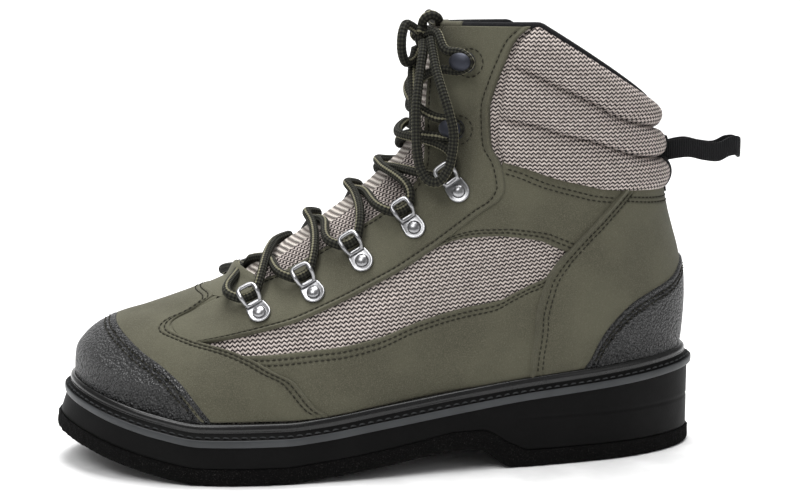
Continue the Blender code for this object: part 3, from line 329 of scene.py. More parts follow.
def tube(path: Array, radius: float, sides: int = 18, closed: bool = False, braid: float = 0.0) -> Piece:
    """A round cord along a path: a circle carried along it, with domed ends.

    Args:
        path: points of its middle line. radius: of the cord. sides: points round it.
        closed: whether the path is a ring. braid: how far its strands stand proud, share of the radius.

    Returns:
        The piece; its UV is share of the way round and length along.
    """
    ahead, first, second = frames(path, closed)
    size = np.full(len(path), radius)
    along = run_length(path)
    if not closed:
        cap = np.array([0.0, 0.45, 0.75, 0.93])
        dome = radius * 0.8
        reach = dome * (1 - np.sqrt(1 - (1 - np.array([0.0, 0.12, 0.35, 0.70])) ** 2))
        head = path[0] - ahead[0] * reach[:, None]
        tail = (path[-1] + ahead[-1] * reach[:, None])[::-1]
        path = np.concatenate([head, path, tail])
        size = np.concatenate([cap * radius, size, cap[::-1] * radius])
        first, second = (np.pad(cross, ((4, 4), (0, 0)), mode="edge") for cross in (first, second))
        along = run_length(path)
    angle = circle(sides)
    across, down = 3 * angle[None], STRANDS * along[:, None]
    weave = np.sin(across + down) * np.sin(across - down)
    wide = size[:, None] * (1 + braid * weave)
    rings = (path[:, None] + first[:, None] * (np.cos(angle) * wide)[..., None]
             + second[:, None] * (np.sin(angle) * wide)[..., None])
    uv = np.stack(np.broadcast_arrays(angle[None] / (2 * math.pi), along[:, None]), axis=-1).reshape(-1, 2)
    quads = grid_quads(len(path), sides, True)
    if closed:
        begin = np.arange(sides)
        last = (len(path) - 1) * sides + begin
        quads = np.concatenate([quads, strip_quads(np.append(last, last[0]), np.append(begin, begin[0]))])
    return Piece(rings.reshape(-1, 3), quads, uv)


def turned(profile: Array, origin: Array, x_axis: Array, y_axis: Array, z_axis: Array, sides: int = 28,
           stretch: tuple[float, float] = (1.0, 1.0)) -> Piece:
    """A profile of (radius, height) pairs carried round an axis."""
    angle = circle(sides)
    across = (x_axis[None] * np.cos(angle)[:, None] * stretch[0]
              + y_axis[None] * np.sin(angle)[:, None] * stretch[1])
    points = origin + profile[:, 0, None, None] * across[None] + profile[:, 1, None, None] * z_axis
    uv = np.stack(np.broadcast_arrays(angle[None], profile[:, 1, None]), axis=-1).reshape(-1, 2)
    return Piece(points.reshape(-1, 3), grid_quads(len(profile), sides, True), uv)


# The last and the sole's plan.
@dataclass
class Last:
    """The boot's skin: rings by row number, each read by turn, 0 at the ridge, over the outer side."""

    sole_length: float = 0.316
    ball_width: float = 0.116
    boot_height: float = 0.209
    heel_behind: float = 0.042
    ball_stack: float = 0.021
    heel_stack: float = 0.043
    felt_thickness: float = 0.008
    toe_spring: float = 0.017
    waist_lift: float = 0.0105
    toe_swing: float = 0.006
    toe_lean: float = 0.005
    rim_lift: float = 0.0009
    shaft_rows: tuple[float, float] = (5.0, 11.0)
    # rough lengths of a row and of half a turn, which the creases are measured in
    row_size: float = 0.013
    turn_size: float = 0.17
    # along, outer, inner
    oval: Table = (
        (0.000, 0.484, 0.484), (0.050, 0.486, 0.482), (0.100, 0.485, 0.475), (0.150, 0.475, 0.460),
        (0.230, 0.457, 0.415), (0.323, 0.450, 0.371), (0.418, 0.470, 0.352), (0.528, 0.513, 0.381),
        (0.655, 0.574, 0.453), (0.750, 0.625, 0.518), (0.845, 0.652, 0.584), (0.924, 0.668, 0.645),
        (1.000, 0.665, 0.700),
    )
    # along, spring, arch, felt_arch, lift
    side: Table = (
        (0.000, 0.00, 0.00, 0.00, 1.00), (0.150, 0.00, 0.00, 0.00, 0.82), (0.290, 0.00, 0.00, 0.00, 0.66),
        (0.316, 0.00, 0.00, 0.30, 0.62), (0.367, 0.00, 0.90, 1.10, 0.53), (0.402, 0.00, 1.00, 1.10, 0.47),
        (0.465, 0.00, 0.77, 0.80, 0.35), (0.528, 0.00, 0.48, 0.48, 0.23), (0.608, 0.00, 0.17, 0.17, 0.07),
        (0.665, 0.00, 0.00, 0.00, 0.00), (0.782, 0.00, 0.00, 0.00, 0.00), (0.845, 0.18, 0.00, 0.00, 0.00),
        (0.908, 0.46, 0.00, 0.00, 0.00), (0.956, 0.73, 0.00, 0.00, 0.00), (1.000, 1.00, 0.00, 0.00, 0.00),
    )
    # front, front_height, back, back_height, hold, nose, toe, ball, waist, heel, rear, inner
    rings: Table = (
        (0.960, 0.165, 0.028, 0.206, 0.00, 0.640, 0.596, 0.500, 0.392, 0.395, 0.440, 0.80),
        (0.961, 0.215, 0.028, 0.240, 0.00, 0.648, 0.602, 0.506, 0.398, 0.405, 0.450, 0.80),
        (0.959, 0.252, 0.026, 0.270, 0.00, 0.640, 0.602, 0.510, 0.404, 0.418, 0.458, 0.81),
        (0.943, 0.287, 0.024, 0.311, 0.00, 0.582, 0.574, 0.498, 0.400, 0.426, 0.460, 0.83),
        (0.909, 0.320, 0.023, 0.354, 0.00, 0.486, 0.530, 0.478, 0.391, 0.430, 0.455, 0.86),
        (0.852, 0.348, 0.024, 0.397, 0.00, 0.428, 0.490, 0.446, 0.376, 0.425, 0.446, 0.89),
        (0.785, 0.379, 0.027, 0.433, 0.00, 0.402, 0.446, 0.412, 0.360, 0.412, 0.434, 0.92),
        (0.709, 0.428, 0.033, 0.474, 0.00, 0.372, 0.398, 0.378, 0.348, 0.398, 0.415, 0.95),
        (0.633, 0.497, 0.042, 0.520, 0.00, 0.338, 0.358, 0.348, 0.338, 0.380, 0.395, 0.97),
        (0.563, 0.568, 0.050, 0.562, 0.00, 0.308, 0.328, 0.330, 0.330, 0.362, 0.376, 0.98),
        (0.506, 0.634, 0.056, 0.604, 0.02, 0.288, 0.312, 0.320, 0.324, 0.346, 0.356, 0.99),
        (0.466, 0.700, 0.062, 0.647, 0.08, 0.278, 0.304, 0.316, 0.320, 0.335, 0.342, 1.00),
        (0.443, 0.782, 0.067, 0.695, 0.18, 0.278, 0.302, 0.316, 0.320, 0.328, 0.332, 1.00),
        (0.427, 0.896, 0.074, 0.756, 0.32, 0.283, 0.306, 0.320, 0.323, 0.326, 0.328, 1.00),
        (0.413, 1.002, 0.081, 0.820, 0.42, 0.288, 0.313, 0.326, 0.328, 0.328, 0.328, 1.00),
    )
    stations: tuple[float, ...] = (0.0, 0.15, 0.35, 0.60, 0.85, 1.0)
    # Soft creases: row and turn share of both ends, depth and half width in metres; both sides.
    creases: Table = (
        (10.9, 0.24, 9.3, 0.34, 0.0014, 0.0080), (9.9, 0.45, 9.0, 0.56, 0.0008, 0.0070),
        (5.0, 0.05, 5.4, 0.13, 0.0006, 0.0050), (8.9, 0.50, 9.4, 0.60, -0.0005, 0.0080),
        (12.3, 0.20, 11.8, 0.32, 0.0006, 0.0060), (3.0, 0.47, 3.2, 0.60, 0.0005, 0.0070),
    )

    def x_of(self, along: Array) -> Array:
        """Place along X of a share of the sole's length from the back of the heel."""
        return self.heel_behind - np.asarray(along, float) * self.sole_length

    def heights(self, x: Array) -> tuple[Array, Array, Array]:
        """Heights of the felt's under side, its upper side and the footbed seat."""
        a = (self.heel_behind - np.asarray(x, float)) / self.sole_length
        spring, arch, felt_arch, lift = (read(self.side, k, a) for k in range(1, 5))
        toe = self.toe_spring * spring
        seat = self.ball_stack + (self.heel_stack - self.ball_stack) * lift + toe
        return (toe + self.waist_lift * arch, toe + self.waist_lift * felt_arch + self.felt_thickness, seat)

    def seat(self, x: Array) -> Array:
        """Height of the footbed seat."""
        return self.heights(x)[2]

    def outline(self, turn: Array, inset: float, level: float) -> Array:
        """Plan of the sole: turn 0 at the heel's back, over the outer side, pi at the toe.

        Args:
            turn: angles. inset: how far inside the outline. level: 1 at the welt, 0 at the ground.

        Returns:
            Plan points.
        """
        def point(angle: Array) -> Array:
            along = (1 - np.cos(angle)) / 2
            edge = np.where(np.sin(angle) > 0, read(self.oval, 1, along), read(self.oval, 2, along))
            toe = np.clip((along - 0.8) / 0.2, 0, 1) ** 2
            x = self.x_of(along) + self.toe_lean * level * toe
            y = self.toe_swing * along ** 2 - np.sin(angle) * edge * self.ball_width
            return np.stack([x, y], axis=-1)

        ahead = point(turn + 0.004) - point(turn - 0.004)
        ahead /= np.linalg.norm(ahead, axis=-1, keepdims=True)
        outward = np.stack([-ahead[:, 1], ahead[:, 0]], axis=-1)
        middle = np.array([[float(self.x_of(0.5)), 0.0]])
        side = np.sign(np.sum(outward * (point(turn) - middle), axis=-1, keepdims=True))
        return point(turn) - outward * side * inset

    def point(self, v: Array, turn: Array) -> Array:
        """A point of the bare skin: an oval ring blended from six half widths, raised by its heights."""
        v, turn = np.broadcast_arrays(np.asarray(v, float), np.asarray(turn, float))
        rows = np.arange(len(self.rings))
        (front, front_height, back, back_height, hold, *widths, inner) = [
            monotone(rows, column, v) for column in columns(self.rings)]
        share = (1 - np.cos(turn)) / 2
        x = self.x_of(front) + (self.x_of(back) - self.x_of(front)) * share
        half = np.zeros_like(x)
        for k in range(len(self.stations)):
            half = half + widths[k] * monotone(self.stations, np.eye(len(self.stations))[k], share)
        across = np.sin(turn)
        tuck = np.where(across < 0, 1 - (1 - inner) * np.sin(math.pi * share) ** 0.5, 1.0)
        y = self.toe_swing * (1 - share) ** 2 - across * half * tuck * self.ball_width
        rise_front = front_height * self.boot_height - self.seat(self.x_of(front))
        rise_back = back_height * self.boot_height - self.seat(self.x_of(back))
        rim = np.clip(1 - v, 0, 1)
        rise_front = rise_front * (1 - rim) + self.rim_lift * rim
        rise_back = rise_back * (1 - rim) + self.rim_lift * rim
        fall = np.clip((share - hold) / (1 - hold), 0, 1)
        lasted = self.seat(x) + rise_front + (rise_back - rise_front) * fall
        straight = (front_height + (back_height - front_height) * fall) * self.boot_height
        low, high = self.shaft_rows
        shaft = np.clip((v - low) / (high - low), 0, 1)
        return np.stack([x, y, lasted + (straight - lasted) * shaft], axis=-1)

    def crease(self, v: Array, turn: Array) -> Array:
        """Depth of the soft creases: a bell across each one's line that fades at its ends."""
        share = np.abs((np.asarray(turn) / math.pi + 1) % 2 - 1)
        total = np.zeros(np.broadcast(v, share).shape)
        for v0, s0, v1, s1, depth, width in self.creases:
            line = np.array([(v1 - v0) * self.row_size, (s1 - s0) * self.turn_size])
            reach = (v - v0) * self.row_size, (share - s0) * self.turn_size
            off = np.stack(np.broadcast_arrays(*reach), axis=-1)
            along = np.clip(off @ line / (line @ line), 0, 1)
            gap = np.linalg.norm(off - along[..., None] * line, axis=-1)
            total = total + depth * np.exp(-(gap / width) ** 2)
        return total

    def skin(self, v: Array, turn: Array, offset: Array) -> Array:
        """Points of the skin moved out along its normals by an offset less the creases' depth."""
        v, turn = np.broadcast_arrays(np.asarray(v, float), np.asarray(turn, float))
        top = len(self.rings) - 1
        low, high = np.clip(v - 0.02, 0, top), np.clip(v + 0.02, 0, top)
        up = self.point(high, turn) - self.point(low, turn)
        onward = self.point(v, turn + 0.01) - self.point(v, turn - 0.01)
        normal = np.cross(onward, up)
        normal /= np.linalg.norm(normal, axis=-1, keepdims=True)
        out = np.broadcast_to(np.asarray(offset, float), v.shape) - self.crease(v, turn)
        return self.point(v, turn) + normal * out[..., None]

    def walls(self, v: Array, share: Array, high: Array, low: Array) -> tuple[Array, Array]:
        """Outer and inner points of what is laid on the skin, by row and turn share."""
        return self.skin(v, share * math.pi, high), self.skin(v, share * math.pi, low)

    def evened(self, edge: Array, count: int) -> Array:
        """Points of an edge of (row, turn share) pairs, evenly apart along the skin."""
        edge = np.array(edge, float)
        key = np.arange(len(edge))
        fine = np.linspace(0, len(edge) - 1, 40 * len(edge))
        v, share = monotone(key, edge[:, 0], fine), monotone(key, edge[:, 1], fine)
        run = run_length(self.point(v, share * math.pi))
        at = np.linspace(0, run[-1], count)
        return np.column_stack([np.interp(at, run, v), np.interp(at, run, share)])


LAST = Last()


# Finishes.
class Graph:
    """A material's nodes round one Principled shader."""

    def __init__(self, name: str) -> None:
        """Start a material with its shader."""
        self.material = bpy.data.materials.new(name)
        self.material.use_nodes = True
        self.tree = self.material.node_tree
        self.shader = self.tree.nodes["Principled BSDF"]

    def node(self, kind: str, **settings: object) -> bpy.types.Node:
        """A node of a kind with its settings."""
        made = self.tree.nodes.new("ShaderNode" + kind)
        for key, value in settings.items():
            setattr(made, key, value)
        return made

    def put(self, target: Socket, value: object) -> None:
        """Link a socket, or set its value."""
        if isinstance(value, Socket):
            self.tree.links.new(value, target)
        else:
            target.default_value = value

    def math(self, operation: str, first: object, second: object = 0.0) -> Socket:
        """A Math node's result."""
        made = self.node("Math", operation=operation)
        for socket, value in zip(made.inputs, (first, second)):
            self.put(socket, value)
        return made.outputs[0]

    def times(self, first: object, second: object) -> Socket:
        """Two values multiplied."""
        return self.math("MULTIPLY", first, second)

    def plus(self, first: object, second: object) -> Socket:
        """Two values added."""
        return self.math("ADD", first, second)

    def place(self) -> Socket:
        """The piece's own place in the row frame."""
        return self.node("TexCoord").outputs["Object"]

    def surface(self) -> tuple[Socket, Socket]:
        """The piece's two UV lengths."""
        split = self.node("SeparateXYZ")
        self.put(split.inputs[0], self.node("UVMap", uv_map="UVMap").outputs[0])
        return split.outputs[0], split.outputs[1]

    def noise(self, scale: float, detail: float = 2.0, stretch: Optional[Place] = None) -> Socket:
        """Noise over the piece's own place, features of about 1/scale metres."""
        made = self.node("TexNoise")
        made.inputs["Scale"].default_value = scale
        made.inputs["Detail"].default_value = detail
        vector = self.place()
        if stretch is not None:
            mapping = self.node("Mapping")
            mapping.inputs["Scale"].default_value = stretch
            self.put(mapping.inputs["Vector"], vector)
            vector = mapping.outputs[0]
        self.put(made.inputs["Vector"], vector)
        return made.outputs[0]

    def cells(self, scale: float) -> Socket:
        """Distance from the middle of rounded cells of about 1/scale metres."""
        made = self.node("TexVoronoi", feature="SMOOTH_F1")
        made.inputs["Scale"].default_value = scale
        made.inputs["Smoothness"].default_value = 0.35
        self.put(made.inputs["Vector"], self.place())
        return made.outputs["Distance"]

    def ramp(self, value: Socket, low: float, high: float) -> Socket:
        """A value stretched smoothly from low..high to 0..1."""
        made = self.node("MapRange", interpolation_type="SMOOTHSTEP")
        self.put(made.inputs["Value"], value)
        made.inputs["From Min"].default_value = low
        made.inputs["From Max"].default_value = high
        return made.outputs[0]

    def mix(self, share: object, first: object, second: object) -> Socket:
        """Two colours mixed."""
        made = self.node("Mix", data_type="RGBA")
        self.put(made.inputs[0], share)
        self.put(made.inputs[6], first)
        self.put(made.inputs[7], second)
        return made.outputs[2]

    def finish(self, colour: object, roughness: object, height: Optional[Socket] = None,
               depth: float = 0.0, **plain: float) -> Material:
        """Set the shader's colour, roughness, relief of a depth in metres and plain sockets."""
        self.put(self.shader.inputs["Base Color"], colour)
        self.put(self.shader.inputs["Roughness"], roughness)
        for key, value in plain.items():
            self.shader.inputs[key.replace("_", " ").title().replace("Ior", "IOR")].default_value = value
        if height is not None:
            bump = self.node("Bump")
            bump.inputs["Strength"].default_value = 1.0
            bump.inputs["Distance"].default_value = depth
            self.put(bump.inputs["Height"], height)
            self.put(self.shader.inputs["Normal"], bump.outputs[0])
        return self.material


def rgba(colour: Sequence[float]) -> tuple[float, float, float, float]:
    """A linear colour with full alpha."""
    return (*colour, 1.0)


@dataclass(frozen=True)
class Nubuck:
    """Matt synthetic nubuck: a fine nap, soft clouds of shade and faint grain."""

    name: str = "nubuck"
    base: Place = (0.092, 0.089, 0.061)
    worn: Place = (0.119, 0.114, 0.081)
    deep: Place = (0.064, 0.061, 0.042)

    def material(self) -> Material:
        """Nap as fine noise, clouds as broad noise, grain as relief."""
        g = Graph(self.name)
        nap = g.noise(2600, 3)
        cloud = g.ramp(g.noise(28, 3), 0.35, 0.68)
        colour = g.mix(cloud, rgba(self.deep), rgba(self.base))
        colour = g.mix(g.ramp(nap, 0.40, 0.75), colour, rgba(self.worn))
        grain = g.plus(g.noise(1500, 4), g.times(g.noise(420, 2), 0.6))
        return g.finish(colour, 0.92, grain, 0.00022, sheen_weight=0.08, specular_ior_level=0.2)


@dataclass(frozen=True)
class ZigzagMesh:
    """Knitted mesh of light zigzag threads over a dark ground."""

    name: str = "zigzag_mesh"
    thread: Place = (0.690, 0.610, 0.570)
    shade: Place = (0.400, 0.345, 0.320)
    ground: Place = (0.022, 0.018, 0.018)
    pitch: float = 0.00185
    period: float = 0.00245
    swing: float = 0.00100

    def material(self) -> Material:
        """Rows of threads across v, moved up and down by a triangle wave of u."""
        g = Graph(self.name)
        u, v = g.surface()
        saw = g.math("FRACT", g.math("DIVIDE", u, self.period))
        wave = g.math("ABSOLUTE", g.math("SUBTRACT", saw, 0.5))
        wave = g.times(wave, 2 * self.swing / self.pitch)
        row = g.math("FRACT", g.plus(g.math("DIVIDE", v, self.pitch), wave))
        ridge = g.math("SUBTRACT", 1.0, g.times(g.math("ABSOLUTE", g.math("SUBTRACT", row, 0.5)), 2.0))
        fuzz = g.times(g.math("SUBTRACT", g.noise(1700, 2), 0.5), 0.55)
        ridge = g.plus(ridge, fuzz)
        thread = g.ramp(ridge, 0.24, 0.66)
        light = g.mix(g.ramp(g.noise(1100, 2), 0.3, 0.7), rgba(self.shade), rgba(self.thread))
        colour = g.mix(thread, rgba(self.ground), light)
        return g.finish(colour, 0.85, g.ramp(ridge, 0.05, 0.85), 0.0006, specular_ior_level=0.2)


@dataclass(frozen=True)
class RibbedKnit:
    """Pale ribbed knit of the tongue's crest: soft ribs across it, darker between them with painted shade."""

    name: str = "ribbed_knit"
    thread: Place = (0.560, 0.515, 0.470)
    # ground: the painted shade colour of the troughs between the ribs
    ground: Place = (0.170, 0.145, 0.130)
    pitch: float = 0.0030

    def material(self) -> Material:
        """Ribs as a wave along u, bent a little by noise, loops as a finer wave along v."""
        g = Graph(self.name)
        u, v = g.surface()
        bent = g.plus(u, g.times(g.noise(260, 2), 0.0010))
        rib = g.math("SINE", g.times(bent, 2 * math.pi / self.pitch))
        loop = g.math("SINE", g.times(v, 2 * math.pi / (self.pitch * 0.5)))
        height = g.plus(rib, g.times(loop, 0.25))
        # colour follows the ribs' relief: painted shade in the troughs, the thread colour on the crests
        colour = g.mix(g.ramp(height, -1.1, 0.5), rgba(self.ground), rgba(self.thread))
        return g.finish(colour, 0.9, height, 0.0005, specular_ior_level=0.2)


@dataclass(frozen=True)
class Pebbled:
    """Black pebbled leather with a satin gloss on the pebbles."""

    name: str = "pebbled"
    base: Place = (0.0045, 0.0050, 0.0060)
    # deep: the painted shade colour in the creases between the pebbles
    deep: Place = (0.0015, 0.0015, 0.0020)

    def material(self) -> Material:
        """Rounded cells as relief, darker between them with painted shade."""
        g = Graph(self.name)
        cells = g.plus(g.cells(820), g.times(g.noise(1500, 2), 0.25))
        # colour follows the cells: painted shade towards their edges, in the creases between the pebbles
        colour = g.mix(g.ramp(cells, 0.25, 0.75), rgba(self.base), rgba(self.deep))
        height = g.math("SUBTRACT", 1.0, cells)
        return g.finish(colour, g.plus(0.27, g.times(cells, 0.30)), height, 0.0022,
                        specular_ior_level=0.75)


@dataclass(frozen=True)
class Plain:
    """A smooth moulded or plated finish with a trace of unevenness."""

    name: str
    base: Place
    roughness: float
    metallic: float = 0.0
    relief: float = 0.00004
    scale: float = 600.0
    spread: float = 0.12
    coat: float = 0.0
    shine: float = 0.5

    def material(self) -> Material:
        """Roughness moved a little by broad noise, fine relief."""
        g = Graph(self.name)
        dark = tuple(value * 0.7 for value in self.base)
        colour = g.mix(g.ramp(g.noise(45, 3), 0.3, 0.7), rgba(dark), rgba(self.base))
        rough = g.plus(self.roughness - self.spread / 2, g.times(g.noise(160, 3), self.spread))
        return g.finish(colour, rough, g.noise(self.scale, 3), self.relief, metallic=self.metallic,
                        coat_weight=self.coat, specular_ior_level=self.shine)


@dataclass(frozen=True)
class Felt:
    """Dense black felt: short fibres, pits and grey flecks."""

    name: str = "felt"
    base: Place = (0.0030, 0.0029, 0.0029)
    fleck: Place = (0.036, 0.034, 0.032)

    def material(self) -> Material:
        """Stretched fine noise for fibres, thresholded noise for flecks."""
        g = Graph(self.name)
        fibre = g.plus(g.noise(1500, 4, (1.0, 1.0, 2.6)), g.times(g.noise(500, 3), 0.7))
        fleck = g.ramp(g.noise(2100, 3), 0.56, 0.74)
        colour = g.mix(fleck, rgba(self.base), rgba(self.fleck))
        return g.finish(colour, 1.0, fibre, 0.0011, specular_ior_level=0.1)


@dataclass(frozen=True)
class Braid:
    """Round braided lace: crossing strands, lighter tracer strands along it."""

    name: str = "braid"
    base: Place = (0.006, 0.006, 0.005)
    # light: the painted highlight colour on the strands' crests; base is left in the hollows as painted shade
    light: Place = (0.034, 0.034, 0.024)
    tracer: Place = (0.190, 0.180, 0.120)
    pitch: float = 0.0033

    def material(self) -> Material:
        """Two families of slanted waves over UV; tracers where the way round is near two places."""
        g = Graph(self.name)
        u, v = g.surface()
        along = g.times(v, 2 * math.pi / self.pitch)
        turn = g.times(u, 8 * math.pi)
        first = g.math("SINE", g.plus(along, turn))
        second = g.math("SINE", g.math("SUBTRACT", along, turn))
        weave = g.times(first, second)
        # colour follows the weave's relief: painted highlight on the strands, painted shade in the hollows
        # between them
        colour = g.mix(g.ramp(weave, -0.5, 0.8), rgba(self.base), rgba(self.light))
        near = g.math("ABSOLUTE", g.math("SUBTRACT", g.math("FRACT", g.times(u, 2.0)), 0.5))
        mask = g.times(g.math("SUBTRACT", 1.0, g.ramp(near, 0.05, 0.13)), g.ramp(weave, -0.6, 0.3))
        colour = g.mix(mask, colour, rgba(self.tracer))
        return g.finish(colour, 0.8, weave, 0.00035, specular_ior_level=0.2)


@dataclass(frozen=True)
class Webbing:
    """Black woven webbing with fine ribs across it."""

    name: str = "webbing"
    base: Place = (0.0040, 0.0040, 0.0045)
    # light: the painted highlight colour on the rib crests; base is left in the grooves as painted shade
    light: Place = (0.0120, 0.0120, 0.0135)
    pitch: float = 0.0011

    def material(self) -> Material:
        """Ribs as a wave along u, threads as a finer wave along v."""
        g = Graph(self.name)
        u, v = g.surface()
        rib = g.math("SINE", g.times(u, 2 * math.pi / self.pitch))
        thread = g.math("SINE", g.times(v, 2 * math.pi / (self.pitch * 0.6)))
        height = g.plus(rib, g.times(thread, 0.35))
        # colour follows the ribs' relief: painted highlight on the crests, painted shade in the grooves
        colour = g.mix(g.ramp(height, -0.6, 1.0), rgba(self.base), rgba(self.light))
        return g.finish(colour, 0.75, height, 0.00018, specular_ior_level=0.2)


@dataclass(frozen=True)
class Brushed:
    """Soft black lining or sewing thread: matt, fibrous."""

    name: str
    base: Place
    scale: float = 1400.0
    depth: float = 0.0002

    def material(self) -> Material:
        """Fine noise as colour change and relief."""
        g = Graph(self.name)
        fine = g.noise(self.scale, 3)
        light = tuple(min(1.0, value * 1.7) for value in self.base)
        return g.finish(g.mix(g.ramp(fine, 0.35, 0.7), rgba(self.base), rgba(light)), 0.95, fine, self.depth,
                        specular_ior_level=0.15)


@dataclass
class Finishes:
    """All the boot's materials."""

    nubuck: Material
    mesh: Material
    ribbed: Material
    pebbled: Material
    midsole: Material
    bead: Material
    lip: Material
    felt: Material
    chrome: Material
    gunmetal: Material
    braid: Material
    webbing: Material
    lining: Material
    thread: Material
    pale_thread: Material

    @classmethod
    def made(cls) -> "Finishes":
        """Build every material, in the fields' order."""
        moulded = (Plain("midsole", (0.0034, 0.0034, 0.0034), 0.55, relief=0.00008, scale=900, shine=0.08),
                   Plain("bead", (0.007, 0.007, 0.007), 0.26, relief=0.00003, shine=0.40),
                   Plain("lip", (0.042, 0.045, 0.048), 0.45, relief=0.00006, shine=0.3))
        metals = (Plain("chrome", (0.38, 0.38, 0.39), 0.30, 1.0, 0.00001, 900, 0.08),
                  Plain("gunmetal", (0.040, 0.043, 0.056), 0.50, 0.80, 0.00003, 900, 0.10))
        fibres = (Brushed("lining", (0.010, 0.010, 0.011)),
                  Brushed("thread", (0.022, 0.021, 0.016), 3000, 0.0001),
                  Brushed("pale_thread", (0.026, 0.027, 0.028), 3000, 0.0001))
        order = (Nubuck(), ZigzagMesh(), RibbedKnit(), Pebbled(), *moulded, Felt(), *metals, Braid(),
                 Webbing(), *fibres)
        return cls(*(finish.material() for finish in order))


# Stitches.
@dataclass
class Stitches:
    """Sewn lines: short thread capsules along paths on the skin."""

    pitch: float = 0.0027
    fill: float = 0.72
    radius: float = 0.00030

    def row(self, path: Array, out: Array) -> Piece:
        """Capsules along one path.

        Each is a tube of six rings whose middle stands proud and whose ends dive into the leather.

        Args:
            path: close points of the sewn line. out: outward directions there.

        Returns:
            The stitches as one piece.
        """
        run = run_length(path)
        count = max(1, int(run[-1] / self.pitch))
        at = (np.arange(count) + 0.5) * run[-1] / count
        reach = np.linspace(-0.5, 0.5, 6) * self.pitch * self.fill
        where = at[:, None] + reach[None]
        middle = np.stack([np.interp(where, run, path[:, k]) for k in range(3)], axis=-1)
        normal = np.stack([np.interp(at, run, out[:, k]) for k in range(3)], axis=-1)
        normal /= np.linalg.norm(normal, axis=-1, keepdims=True)
        ahead = middle[:, -1] - middle[:, 0]
        ahead /= np.linalg.norm(ahead, axis=-1, keepdims=True)
        across = np.cross(normal, ahead)
        dive = 1 - (2 * np.abs(np.linspace(-0.5, 0.5, 6))) ** 2.5
        size = self.radius * np.array([0.35, 0.85, 1.0, 1.0, 0.85, 0.35])
        lift = self.radius * (1.3 * dive - 0.7)
        angle = circle(6)
        middle = middle + normal[:, None] * lift[None, :, None]
        rings = (middle[:, :, None]
                 + across[:, None, None] * (size[None, :, None] * np.cos(angle)[None, None])[..., None]
                 + normal[:, None, None] * (size[None, :, None] * np.sin(angle)[None, None])[..., None])
        one = grid_quads(6, 6, True)
        caps = np.array([[0, 1, 2, 3], [0, 3, 4, 5], [30, 31, 32, 33], [30, 33, 34, 35]])
        one = np.concatenate([one, caps])
        quads = (one[None] + 36 * np.arange(count)[:, None, None]).reshape(-1, 4)
        flat = rings.reshape(-1, 3)
        return Piece(flat, quads, flat[:, :2] * 1.0)


# Panels laid on the skin.
class Side(Enum):
    """A panel's four sides: its two edges, and the lines that join their starts and their ends."""

    FIRST = "first"
    SECOND = "second"
    START = "start"
    END = "end"


@dataclass(frozen=True)
class Seam:
    """Rows of stitches along a side, at distances in from it, cut short at both ends."""

    side: Side
    distances: tuple[float, ...] = (0.0030, 0.0055)
    trims: tuple[float, float] = (0.003, 0.003)


@dataclass(frozen=True)
class Fold:
    """A side raised over a cord: how far in, how high and how wide."""

    side: Side
    inward: float = 0.0013
    height: float = 0.0011
    width: float = 0.0011


